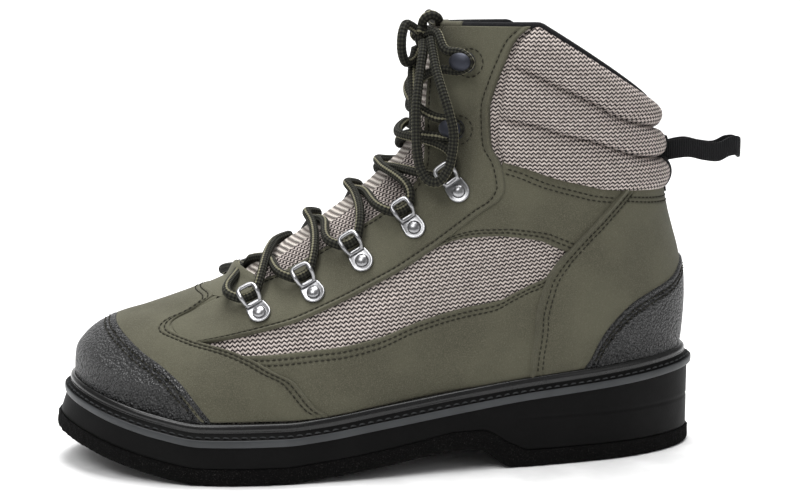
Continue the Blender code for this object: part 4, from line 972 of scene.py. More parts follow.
@dataclass
class Panel:
    """A piece of leather laid on the skin between two edges of (row, turn share) pairs."""

    name: str
    first: Array
    second: Array
    base: float = 0.0006
    thickness: float = 0.0012
    radius: float = 0.0009
    seams: tuple[Seam, ...] = ()
    folds: tuple[Fold, ...] = ()
    step: float = 0.0008
    flip: int = 1
    # how far it is sunk in the skin, and how deep, wide and low its stitches lie
    sunk: float = 0.0004
    dip: float = 0.00028
    dip_width: float = 0.00065
    thread_sink: float = 0.00016

    def grid(self) -> tuple[Array, Array, dict[Side, Array]]:
        """Rows and turn shares over the panel, and distances from its four sides."""
        probe_a, probe_b = LAST.evened(self.first, 60), LAST.evened(self.second, 60)
        ends_a = LAST.point(probe_a[:, 0], probe_a[:, 1] * math.pi)
        ends_b = LAST.point(probe_b[:, 0], probe_b[:, 1] * math.pi)
        length = max(run_length(ends_a)[-1], run_length(ends_b)[-1])
        height = float(np.linalg.norm(ends_a - ends_b, axis=1).max())
        across, along = spaced(height, self.step), spaced(length, self.step)
        dense = 400
        place = np.linspace(0, 1, dense)
        first, second = LAST.evened(self.first, dense), LAST.evened(self.second, dense)
        first = np.column_stack([np.interp(along, place, first[:, k]) for k in range(2)])
        second = np.column_stack([np.interp(along, place, second[:, k]) for k in range(2)])
        mix = across[:, None, None]
        both = first[None] * (1 - mix) + second[None] * mix
        v, share = both[..., 0], both[..., 1] * self.flip
        points = LAST.point(v, share * math.pi)
        down, over = run_length(points, 0), run_length(points, 1)
        gaps = {Side.FIRST: down, Side.SECOND: down[-1:] - down,
                Side.START: over, Side.END: over[:, -1:] - over}
        return v, share, gaps

    def relief(self, gaps: dict[Side, Array]) -> Array:
        """Height over the skin: full thickness, rounded at its sides, drawn in at its stitches."""
        total = np.full(gaps[Side.FIRST].shape, self.thickness)
        for gap in gaps.values():
            total = total * rounded(gap, self.radius)
        for seam in self.seams:
            for distance in seam.distances:
                total = total - self.dip * np.exp(-((gaps[seam.side] - distance) / self.dip_width) ** 2)
        for fold in self.folds:
            crown = np.exp(-((gaps[fold.side] - fold.inward) / fold.width) ** 2)
            total = total + fold.height * crown * rounded(gaps[fold.side], self.radius)
        return total + self.base * np.clip(total / self.thickness, 0, 1)

    def sewn(self, v: Array, share: Array, gaps: dict[Side, Array]) -> list[Piece]:
        """The panel's rows of stitches."""
        made = []
        for seam in self.seams:
            for distance in seam.distances:
                down = seam.side in (Side.FIRST, Side.SECOND)
                gap = gaps[seam.side] if down else gaps[seam.side].T
                rows, turns = (v, share) if down else (v.T, share.T)
                if seam.side in (Side.SECOND, Side.END):
                    gap, rows, turns = gap[::-1], rows[::-1], turns[::-1]
                k = np.argmax(gap >= distance, axis=0)
                ok = (k > 0) & (gap.max(axis=0) > distance * 1.6)
                j = np.flatnonzero(ok)
                k = k[j]
                span = gap[k, j] - gap[k - 1, j]
                t = (distance - gap[k - 1, j]) / np.maximum(span, 1e-9)
                row = rows[k - 1, j] * (1 - t) + rows[k, j] * t
                turn = (turns[k - 1, j] * (1 - t) + turns[k, j] * t) * math.pi
                top = self.base + self.thickness
                line = LAST.skin(row, turn, top - self.thread_sink)
                out = LAST.skin(row, turn, top + 0.001) - line
                run = run_length(line)
                keep = (run >= seam.trims[0]) & (run <= run[-1] - seam.trims[1])
                if keep.sum() > 4:
                    made.append(STITCHES.row(line[keep], out[keep]))
        return made

    def build(self, finish: Material, thread: Material, slot: str) -> None:
        """Make the panel, which stands for the node of its name, and its stitches."""
        v, share, gaps = self.grid()
        outer, inner = LAST.walls(v, share, self.relief(gaps), -self.sunk)
        uv = np.stack([gaps[Side.START], gaps[Side.FIRST]], axis=-1)
        sheet(outer, inner, uv).add(self.name + "_panel", [finish], slot, [self.name])
        sewn = self.sewn(v, share, gaps)
        if sewn:
            joined(sewn).add(self.name + "_stitches", [thread], slot)


STITCHES = Stitches()


def edge_pairs(table: Table, column: int = 1) -> Array:
    """A table's (row, share) pairs from its first column and another."""
    parts = columns(table)
    return np.column_stack([parts[0], parts[column]])


def level_edge(row: float, start: float, end: float, count: int) -> Array:
    """An edge along one row between two turn shares."""
    return np.column_stack([np.full(count, row), np.linspace(start, end, count)])


def behind(points: Array) -> Array:
    """An edge mirrored over the back line."""
    return points * np.array([1, -1]) + np.array([0, 2])


def mirrored_edge(table: Table) -> Array:
    """An edge carried over the ridge to the other side, from the outer feather to the inner one."""
    points = edge_pairs(table)
    return np.vstack([points, points[-2::-1] * np.array([1, -1])])


@dataclass
class UpperPattern:
    """The edges that the upper's panels are cut to, as row of the last and turn share."""

    feather: float = 0.85
    # row, turn
    cap: Table = (
        (0.85, 0.303), (1.38, 0.294), (2.12, 0.280), (2.82, 0.250), (3.22, 0.217), (3.42, 0.186),
        (3.71, 0.138), (3.95, 0.085), (4.13, 0.035), (4.20, 0.000),
    )
    vamp: Table = (
        (0.85, 0.430), (1.24, 0.420), (2.24, 0.404), (3.02, 0.382), (3.36, 0.360), (3.85, 0.325),
        (4.21, 0.283), (4.45, 0.220), (4.55, 0.174), (4.80, 0.148), (5.20, 0.134), (5.60, 0.130),
        (6.00, 0.122), (6.20, 0.085), (6.27, 0.000),
    )
    # turn, window_foot, window_head
    window: Table = (
        (0.300, 4.05, 5.00), (0.328, 4.11, 5.60), (0.366, 4.23, 6.60), (0.411, 4.27, 8.05),
        (0.452, 4.43, 8.27), (0.487, 4.89, 8.27), (0.532, 5.19, 8.15), (0.573, 5.33, 7.97),
        (0.589, 5.71, 7.82), (0.605, 6.10, 7.69), (0.617, 6.35, 7.56), (0.627, 7.40, 7.47),
        (0.645, 7.44, 7.42),
    )
    # turn, row
    collar_foot: Table = (
        (0.388, 11.14), (0.446, 11.02), (0.519, 10.72), (0.560, 10.58), (0.595, 10.48), (0.653, 10.31),
        (0.719, 10.27), (0.910, 10.24), (1.000, 10.24),
    )
    # row, front, rear
    eyestay: Table = (
        (4.36, 0.200, 0.232), (4.55, 0.166, 0.252), (4.85, 0.132, 0.278), (5.20, 0.122, 0.303),
        (5.60, 0.118, 0.330), (6.20, 0.120, 0.352), (6.80, 0.146, 0.370), (7.40, 0.170, 0.390),
        (8.00, 0.190, 0.405), (8.60, 0.206, 0.414), (9.20, 0.218, 0.424), (9.70, 0.222, 0.438),
        (10.10, 0.215, 0.435), (10.50, 0.202, 0.420), (11.10, 0.172, 0.391), (11.50, 0.150, 0.360),
        (12.00, 0.120, 0.343), (12.36, 0.103, 0.336), (12.80, 0.088, 0.348), (13.20, 0.080, 0.363),
        (13.64, 0.084, 0.384), (13.95, 0.105, 0.424),
    )
    # row, turn
    quarter: Table = (
        (0.85, 0.643), (3.08, 0.640), (4.43, 0.630), (5.37, 0.623), (6.35, 0.616), (6.97, 0.618),
        (7.83, 0.633), (8.51, 0.649), (9.37, 0.672), (10.40, 0.709),
    )
    counter: Table = (
        (0.85, 0.713), (1.56, 0.721), (2.80, 0.732), (3.71, 0.748), (4.51, 0.777), (4.99, 0.818),
        (5.47, 0.872), (6.15, 0.925), (6.42, 0.965), (6.50, 1.000),
    )
    collar_front: Table = (
        (10.60, 0.412), (11.14, 0.396), (11.66, 0.370), (12.14, 0.362), (12.54, 0.364), (13.06, 0.374),
        (13.58, 0.392), (13.95, 0.434),
    )
    throat_row: float = 6.4
    # how deep the tongue lies under the skin, and its crown's height over the foot and in the shaft
    tongue_depth: float = 0.0031
    foot_crown: float = 0.0052
    shaft_crown: float = 0.0025

    def throat(self, v: Array) -> Array:
        """Half turn share of the throat's slit at a row, nought below its front."""
        front = read(self.eyestay, 1, np.clip(v, self.throat_row, None))
        return front * np.clip((np.asarray(v, float) - self.throat_row) / 0.45, 0, 1) ** 0.5 * 0.97

    def tongue_face(self, v: Array, share: Array) -> Array:
        """Offset of the tongue's face from the skin: low under the eyestays, crowned in the throat."""
        edge = np.maximum(self.throat(v), 0.02)
        middle = np.clip(1 - (np.abs(share) / (edge * 0.86)) ** 2, 0, 1)
        start = np.clip((v - 6.7) / 0.6, 0, 1)
        shaft = np.clip((v - 10.4) / 1.0, 0, 1)
        crown = self.foot_crown * (1 - shaft) + self.shaft_crown * shaft
        return crown * start * middle - self.tongue_depth


PATTERN = UpperPattern()


@dataclass
class Upper:
    """The lasted shell, its panels, caps, collar, tongue and pull loop."""

    wall: float = 0.0022
    pad: float = 0.0050
    rolls: Place = (12.02, 12.97, 13.93)
    # turn share, row of the lower valley, row of the upper valley
    valleys: Table = (
        (0.38, 12.20, 13.10), (0.46, 12.20, 13.07), (0.52, 12.12, 13.02), (0.59, 12.10, 12.98),
        (0.68, 11.95, 12.84), (0.76, 11.82, 12.87), (0.88, 11.84, 12.96), (1.00, 11.86, 12.98),
    )
    tongue_thickness: float = 0.006
    # rows of the skin's top, the binding, the collar's top and its foot at the back, and the number of
    # the shell's rows below the throat
    top_row: float = 14.0
    binding_row: float = 13.96
    collar_top: float = 13.95
    foot_row: float = 10.24
    rows_below: int = 64
    # the webbing strip's half width and the length of half a turn there; the pull loop's sizes
    strip_half: float = 0.0058
    strip_turn: float = 0.105
    loop_reach: float = 0.0385
    loop_thick: float = 0.0008
    loop_half: float = 0.0048
    # along, half width, rise
    loop_line: Table = (
        (-0.06, 0.0014, -0.0016), (0.02, 0.0022, -0.0008), (0.14, 0.0034, 0.0002), (0.30, 0.0044, 0.0008),
        (0.50, 0.0048, -0.0008), (0.70, 0.0046, -0.0014), (0.86, 0.0042, 0.0012), (0.95, 0.0034, 0.0014),
        (0.99, 0.0020, 0.0006), (1.00, 0.0, 0.0),
    )

    def build(self, f: Finishes) -> None:
        """Make every piece of the upper."""
        self.shell(f)
        self.side_panels(f, 1, "outer")
        self.side_panels(f, -1, "inner")
        self.front_panels(f)
        self.heel_panels(f)
        self.collar(f)
        self.tongue(f)
        self.pull_loop(f)

    def shell(self, f: Finishes) -> None:
        """The shell of mesh with its black lining: the skin and its inner wall, open at the throat."""
        low = np.linspace(0.0, PATTERN.throat_row, self.rows_below)
        high = PATTERN.throat_row + (self.top_row - PATTERN.throat_row) * np.linspace(0, 1, 90) ** 1.3
        rows = np.concatenate([low, high[1:]])
        slit = PATTERN.throat(rows)
        across = np.linspace(0, 1, 361)
        turn = (slit[:, None] + (2 - 2 * slit[:, None]) * across[None]) * math.pi
        v = np.repeat(rows[:, None], len(across), axis=1)
        outer, inner = LAST.skin(v, turn, 0.0), LAST.skin(v, turn, -self.wall)
        inner[0, :, 2] = outer[0, :, 2]
        piece = shell(outer, inner, knit_uv(outer, -0.10))
        corners = piece.points[piece.quads]
        centre = corners.mean(axis=1)
        whole = np.linalg.norm(centre - corners[:, 0], axis=1) > 1e-6
        seam = (piece.marks == 2) & (np.abs(centre[:, 1]) < 0.012) & self.below_throat(piece.quads, *v.shape)
        keep = whole & ~seam
        piece.quads, piece.marks = piece.quads[keep], np.minimum(piece.marks[keep], 1)
        piece.add("upper_shell", [f.mesh, f.lining], "knit_mesh", ["upper"])
        # name, finish, slot, start, end, offset, radius
        edges = (("collar_binding", f.lining, "lining", 0.20, 1.80, -0.0006, 0.0017),
                 ("shaft_edge_outer", f.nubuck, "nubuck_panels", 0.105, 0.205, -0.0002, 0.0019),
                 ("shaft_edge_inner", f.nubuck, "nubuck_panels", 1.795, 1.895, -0.0002, 0.0019))
        for name, finish, slot, start, end, offset, radius in edges:
            around = np.linspace(start, end, 200) * math.pi
            top = LAST.skin(np.full(200, self.binding_row), around, offset)
            tube(smooth_route(top, 0.0016), radius, 12).add(name, [finish], slot)

    def below_throat(self, quads: Array, rows: int, count: int) -> Array:
        """Whether each quad of the shell stands at a slit edge below the throat's front."""
        row = (quads % (rows * count)) // count
        column = quads[:, 0] % count
        edge = (column == 0) | (column == count - 1)
        return (row[:, 0] < self.rows_below - 1) & edge & (row[:, 0] != row[:, 1])

    def side_panels(self, f: Finishes, flip: int, name: str) -> None:
        """Eyestay with the shaft's panel, band under the mesh window and ankle panel, on one side."""
        foot = level_edge(PATTERN.feather, 0.415, 0.660, 12)
        turns, sill, _ = columns(PATTERN.window)
        head = np.vstack([np.column_stack([sill, turns])[turns < 0.630], [(7.2, 0.640)]])
        Panel("side_band_" + name, foot, head, 0.0002, seams=(Seam(Side.SECOND, (0.0028, 0.0054)),),
              flip=flip).build(f.nubuck, f.thread, "nubuck_panels")
        low = np.linspace(0.400, 0.650, 14)
        foot = np.column_stack([read(PATTERN.window, 2, low), low])
        top = np.linspace(0.395, 0.715, 14)
        head = np.column_stack([read(PATTERN.collar_foot, 1, top) + 0.25, top])
        Panel("ankle_panel_" + name, foot, head, 0.0002,
              seams=(Seam(Side.FIRST, (0.0026, 0.0050)), Seam(Side.SECOND, (0.0068, 0.0092))),
              flip=flip).build(f.nubuck, f.thread, "nubuck_panels")
        Panel("eyestay_" + name, edge_pairs(PATTERN.eyestay, 1), edge_pairs(PATTERN.eyestay, 2), 0.0005,
              seams=(Seam(Side.SECOND, (0.0042,)), Seam(Side.FIRST, (0.0030,), (0.040, 0.002))),
              folds=(Fold(Side.SECOND, 0.0015, 0.0009, 0.0012),),
              flip=flip).build(f.nubuck, f.thread, "nubuck_panels")

    def front_panels(self, f: Finishes) -> None:
        """Toe cap, vamp and the throat's tab."""
        foot = level_edge(PATTERN.feather - 0.1, 0.303, -0.303, 24)
        Panel("toe_cap", foot, mirrored_edge(PATTERN.cap), 0.0011, 0.0014, 0.0012,
              seams=(Seam(Side.SECOND, (0.0040, 0.0062)),), step=0.0010).build(
                  f.pebbled, f.thread, "pebbled_caps")
        inside = mirrored_edge(PATTERN.cap) * np.array([0.985, 0.94])
        inside[[0, -1], 0] = PATTERN.feather
        Panel("vamp", inside, mirrored_edge(PATTERN.vamp), 0.0011,
              seams=(Seam(Side.SECOND, (0.0028, 0.0054)),)).build(
                  f.nubuck, f.thread, "nubuck_panels")
        rows, across = np.linspace(6.05, 6.98, 40), np.linspace(-1, 1, 48)
        v = np.repeat(rows[:, None], len(across), axis=1)
        share = np.interp(rows, (6.05, 6.5, 6.8, 6.98), (0.150, 0.152, 0.140, 0.105))[:, None] * across[None]
        up = smoothstep(6.62, 6.98, v) * 0.0048 * (1 - across[None] ** 2)
        high = 0.0006 + 0.0013 * rounded(1 - np.abs(across)[None], 0.08) * rounded(6.98 - v, 0.06) + up
        outer, inner = LAST.walls(v, share, high, up - 0.0003)
        tab = sheet(outer, inner, outer[..., :2])
        tab.add("throat_tab_panel", [f.nubuck], "nubuck_panels", ["throat_tab"])

    def heel_panels(self, f: Finishes) -> None:
        """Heel quarter with its corded front edges, pebbled counter and webbing strip down the back."""
        front = edge_pairs(PATTERN.quarter)
        Panel("heel_quarter", front, behind(front), 0.0008,
              seams=(Seam(Side.FIRST, (0.0046, 0.0070)), Seam(Side.SECOND, (0.0046, 0.0070)),
                     Seam(Side.END, (0.0052, 0.0076), (0.006, 0.006))),
              folds=(Fold(Side.FIRST), Fold(Side.SECOND))).build(
                  f.nubuck, f.thread, "nubuck_panels")
        edge = edge_pairs(PATTERN.counter)
        over = np.vstack([edge, behind(edge[-2::-1])])
        foot = level_edge(PATTERN.feather - 0.1, 0.713, 1.287, 20)
        Panel("heel_counter", foot, over, 0.0019, 0.0012, 0.0012,
              seams=(Seam(Side.SECOND, (0.0036, 0.0060)),), step=0.0010).build(
                  f.pebbled, f.thread, "pebbled_caps")
        rows = np.linspace(10.0, 12.6, 60)
        half = self.strip_half / self.strip_turn
        v, share = np.meshgrid(rows, 1 + np.linspace(-half, half, 16), indexing="ij")
        gap = np.minimum(1 - np.abs(share - 1) / half, 1)
        high = self.pad_height(v, np.full_like(v, 1.0)) + 0.0014 * rounded(gap, 0.2)
        high = np.where(v < 10.3, 0.0030, high)
        outer, inner = LAST.walls(v, share, high, 0.0002)
        uv = np.stack([run_length(outer, 0), run_length(outer, 1)], axis=-1)
        sheet(outer, inner, uv).add("back_strip", [f.webbing], "webbing")

    def pad_height(self, v: Array, side: Array) -> Array:
        """Offset of the collar's face: three rolls, each a flattened half wave, low at its front edges."""
        bounds = (self.foot_row,) + self.rolls
        swell = np.zeros_like(np.asarray(v, float))
        for low, high in zip(bounds[:-1], bounds[1:]):
            t = np.clip((v - low) / (high - low), 0, 1)
            inside = (v >= low) & (v <= high)
            swell = np.where(inside, np.sin(math.pi * t) ** 0.70, swell)
        taper = np.clip(side / 0.07, 0, 1) ** 0.5
        groove = sum(np.exp(-((v - valley) / 0.05) ** 2) for valley in self.rolls[:-1])
        return 0.0012 + self.pad * 0.98 * swell * taper - 0.0011 * groove

    def collar(self, f: Finishes) -> None:
        """Padded mesh collar of three rolls round the back of the shaft."""
        across = np.linspace(0, 1, 420)
        side = np.minimum(across, 1 - across) * 2
        level = np.linspace(0, 1, 150)
        start = float(read(PATTERN.collar_front, 1, 10.9))
        foot = read(PATTERN.collar_foot, 1, start + (1 - start) * side) - 0.02
        v = foot[None] + (self.collar_top - foot[None]) * level[:, None]
        front = read(PATTERN.collar_front, 1, v)
        share = np.where(across < 0.5, front + (1 - front) * side, 2 - front - (1 - front) * side)
        low_roll, high_roll, _ = self.rolls
        lean = (self.foot_row - foot)[None] * np.clip((low_roll - v) / (low_roll - self.foot_row), 0, 1)
        half = np.minimum(share, 2 - share)
        low_valley, high_valley = read(self.valleys, 1, half), read(self.valleys, 2, half)
        upper_half = smoothstep(12.1, 12.8, v)
        near_low = smoothstep(10.9, 12.0, v) * (1 - upper_half)
        near_high = upper_half * (1 - smoothstep(13.1, 13.9, v))
        counted = v + (low_roll - low_valley) * near_low + (high_roll - high_valley) * near_high
        high = self.pad_height(counted + lean, side[None] * np.ones_like(v))
        bare = LAST.point(v, share * math.pi)
        edge = np.minimum(run_length(bare, 1), run_length(bare[:, ::-1], 1)[:, ::-1])
        crown = np.minimum(level, 1 - level)[:, None] * 0.075
        high = high * rounded(edge, 0.0022) * rounded(crown, 0.0016) + 0.0003
        outer, inner = LAST.walls(v, share, high, -0.0003)
        pad = sheet(outer, inner, knit_uv(LAST.skin(v, share * math.pi, 0.003)))
        pad.add("collar_rolls", [f.mesh], "knit_mesh", ["collar_pad"])

    def tongue(self, f: Finishes) -> None:
        """Padded mesh tongue, crowned in the throat."""
        rows, across = np.linspace(5.8, 13.97, 150), np.linspace(-1, 1, 60)
        half = np.maximum(PATTERN.throat(rows), 0.06) + 0.055 + 0.02 * np.clip((rows - 10) / 4, 0, 1)
        v, share = np.repeat(rows[:, None], len(across), axis=1), half[:, None] * across[None]
        high = PATTERN.tongue_face(v, share)
        body = self.tongue_thickness * (1 - 0.55 * np.abs(across) ** 3)
        low = -PATTERN.tongue_depth - body[None] + 0 * v
        outer, inner = LAST.walls(v, share, high, low)
        middle, crest = slice(30, 31), slice(19, 40)
        along = run_length(outer[:, middle], 0) + 0 * v
        piece = shell(outer, inner, np.stack([along, knit_uv(outer)[..., 0]], axis=-1))
        piece.marks = np.minimum(piece.marks, 1)
        outside = piece.marks[:(len(rows) - 1) * (len(across) - 1)].reshape(len(rows) - 1, -1)
        outside[:, crest] = 2
        piece.add("tongue_pad", [f.mesh, f.lining, f.ribbed], "knit_mesh", ["tongue"])

    def pull_loop(self, f: Finishes) -> None:
        """Webbing loop on edge: a rounded band carried out from the back line and back."""
        seat = LAST.skin(np.array([12.0]), np.array([math.pi]), 0.0058)[0]
        along, half, rise = columns(self.loop_line)
        x = seat[0] + self.loop_reach * np.concatenate([along, along[-2::-1]])
        y = np.concatenate([-half, half[-2::-1]])
        z = seat[2] + np.concatenate([rise, rise[-2::-1]]) + 0.0008
        path = smooth_route(np.column_stack([x, y, z]), 0.0006)
        plan = np.gradient(path[:, :2], axis=0)
        plan /= np.linalg.norm(plan, axis=1, keepdims=True)
        out = np.column_stack([plan[:, 1], -plan[:, 0], np.zeros(len(path))])
        thick, tall = squarish(circle(28), 0.35)
        thick, tall = thick * self.loop_thick, tall * self.loop_half
        rings = (path[:, None] + out[:, None] * thick[None, :, None]
                 + np.array([0, 0, 1.0])[None, None] * tall[None, :, None])
        uv = np.stack(np.broadcast_arrays(run_length(path)[:, None], tall[None]), axis=-1).reshape(-1, 2)
        Piece(rings.reshape(-1, 3), capped(len(path), 28), uv).add(
            "pull_loop_band", [f.webbing], "webbing", ["pull_loop"], 60)


@dataclass
class Sole:
    """Felt outsole, midsole with its heel block, welt and insole."""

    points: int = 720
    welt_height: float = 0.008
    inset: float = 0.0016
    parting: float = 0.0240

    def plan(self, inset: float, level: float) -> Array:
        """The outline's points at a level, drawn in by an inset."""
        return LAST.outline(circle(self.points), inset, level)

    def build(self, f: Finishes) -> None:
        """Make the layers."""
        self.outsole(f)
        self.midsole(f)
        self.welt(f)
        insole = bpy.data.objects["insole"]
        insole.data.materials.clear()
        insole.data.materials.append(f.lining)

    def outsole(self, f: Finishes) -> None:
        """Felt: rings from its rounded lower edge to its upper one, roughened by smoothed noise."""
        steps = ((0.0034, 0.0, 0.0), (0.0020, 0.02, 0.0), (0.0011, 0.06, 0.0), (0.0008, 0.14, 0.0),
                 (0.0007, 0.30, 0.06), (0.0007, 0.45, 0.1), (0.0007, 0.62, 0.15), (0.0007, 0.78, 0.18),
                 (0.0008, 0.92, 0.2), (0.0012, 1.0, 0.2), (0.0040, 1.0, 0.2))
        rings = []
        for inset, share, level in steps:
            plan = self.plan(inset, level)
            under, over, _ = LAST.heights(plan[:, 0])
            rings.append(np.column_stack([plan, under + (over - under) * share]))
        stack = np.array(rings)
        rough = noise_field(stack.shape[:2], 3, 1) * 0.00016
        rough[[0, -1]] = 0
        centre = np.array([float(LAST.x_of(0.5)), 0.0])
        out = stack[..., :2] - centre
        out /= np.linalg.norm(out, axis=-1, keepdims=True)
        stack[..., :2] += out * rough[..., None]
        ring_stack(stack).add("felt_sole", [f.felt], "felt", ["outsole_felt"], 70)

    def midsole(self, f: Finishes) -> None:
        """Midsole wall from the felt to the seat, with a faint parting line round the heel."""
        rings = []
        for share in np.concatenate([[0.0, 0.012, 0.03], np.linspace(0.06, 0.94, 40), [0.97, 1.0]]):
            level = 0.2 + 0.8 * share
            x = self.plan(self.inset, level)[:, 0]
            _, foot, seat = LAST.heights(x)
            z = foot + (seat - foot) * share
            heel = smoothstep(-0.060, -0.040, x)
            groove = 0.00035 * np.exp(-((z - self.parting) / 0.0006) ** 2) * heel
            edge = 0.0006 * (1 - float(rounded(min(share, 1 - share), 0.03)))
            plan = self.plan(0.0, level)
            out = (plan - self.plan(0.01, level)) / 0.01
            rings.append(np.column_stack([plan - out * (self.inset + groove + edge)[:, None], z]))
        ring_stack(np.array(rings)).add("midsole_block", [f.midsole], "midsole_rubber", ["midsole"], 50)

    def welt(self, f: Finishes) -> None:
        """Welt: a closed section of grey lip, stitched slope and shiny bead, carried round the boot."""
        # across, height, mark
        section = (
            (0.93, -0.30, 0), (1.00, -0.30, 0), (1.030, -0.26, 0), (1.045, -0.15, 0), (1.045, 0.00, 0),
            (1.03, 0.09, 0), (1.00, 0.13, 1), (0.95, 0.14, 1), (0.90, 0.13, 1), (0.84, 0.15, 1),
            (0.78, 0.20, 1), (0.71, 0.28, 1), (0.64, 0.37, 1), (0.59, 0.44, 2), (0.575, 0.49, 2),
            (0.60, 0.54, 2), (0.615, 0.61, 2), (0.61, 0.69, 2), (0.58, 0.78, 2), (0.53, 0.86, 2),
            (0.46, 0.92, 2), (0.37, 0.955, 2), (0.26, 0.96, 2), (0.14, 0.93, 2), (0.02, 0.86, 2),
            (0.02, 0.07, 0), (0.86, 0.06, 0),
        )
        turn = circle(self.points)
        feather = LAST.skin(np.full_like(turn, 1.0), math.pi - turn, 0.0006)
        lip = self.plan(0.0, 1.0)
        rings = []
        for across, height, _ in section:
            plan = feather[:, :2] * (1 - across) + lip * across
            rings.append(np.column_stack([plan, LAST.seat(plan[:, 0]) + self.welt_height * height]))
        stack = np.array(rings)
        count = len(section)
        closing = np.concatenate([stack, stack[:1]])
        run = run_length(closing, 1)
        uv = np.stack([run, np.arange(count + 1)[:, None] * 0.001 + 0 * run], axis=-1)
        marks = np.repeat(np.array([mark for *_, mark in section]), self.points)
        Piece(closing.reshape(-1, 3), grid_quads(count + 1, self.points, True), uv.reshape(-1, 2), marks).add(
            "welt_strip", [f.lip, f.midsole, f.bead], "welt_rubber", ["welt"], 50)
        plan = feather[:, :2] * 0.22 + lip * 0.78
        line = np.column_stack([plan, LAST.seat(plan[:, 0]) + self.welt_height * 0.235])
        out = np.column_stack([lip - feather[:, :2], np.full(len(turn), 0.006)])
        line, out = np.vstack([line, line[:1]]), np.vstack([out, out[:1]])
        Stitches(0.0042, 0.70, 0.00048).row(line, out).add("welt_stitches", [f.pale_thread], "welt_rubber")


@dataclass
class Seat:
    """A place on the upper for hardware: origin, direction along the skin, across it, outward, and up."""

    origin: Array
    ahead: Array
    across: Array
    out: Array
    up: Array

    @classmethod
    def at(cls, v: float, share: float, flip: int, offset: float, towards: Sequence[float]) -> "Seat":
        """A seat at a row and turn share, its ahead axis the given world direction laid on the skin."""
        row, turn = np.array(v), np.array(share * math.pi * flip)
        here = LAST.skin(row, turn, offset)
        out = LAST.skin(row, turn, offset + 0.001) - here
        out = out / np.linalg.norm(out)
        ahead = np.array(towards) * np.array([1.0, flip, 1.0])
        ahead = ahead - out * out.dot(ahead)
        ahead = ahead / np.linalg.norm(ahead)
        up = LAST.skin(row + 0.3, turn, offset) - here
        up = up - ahead * ahead.dot(up)
        return cls(here, ahead, np.cross(out, ahead), out, up / np.linalg.norm(up))

    def spread(self, ahead: Array, across: Array, out: Array) -> Array:
        """Points at lengths ahead, across and out."""
        axes = np.array([self.ahead, self.across, self.out])
        return self.origin + np.column_stack(np.broadcast_arrays(ahead, across, out)) @ axes

    def place(self, ahead: float, up: float, out: float) -> Array:
        """A point at lengths ahead, up the throat and out."""
        return self.origin + self.ahead * ahead + self.up * up + self.out * out


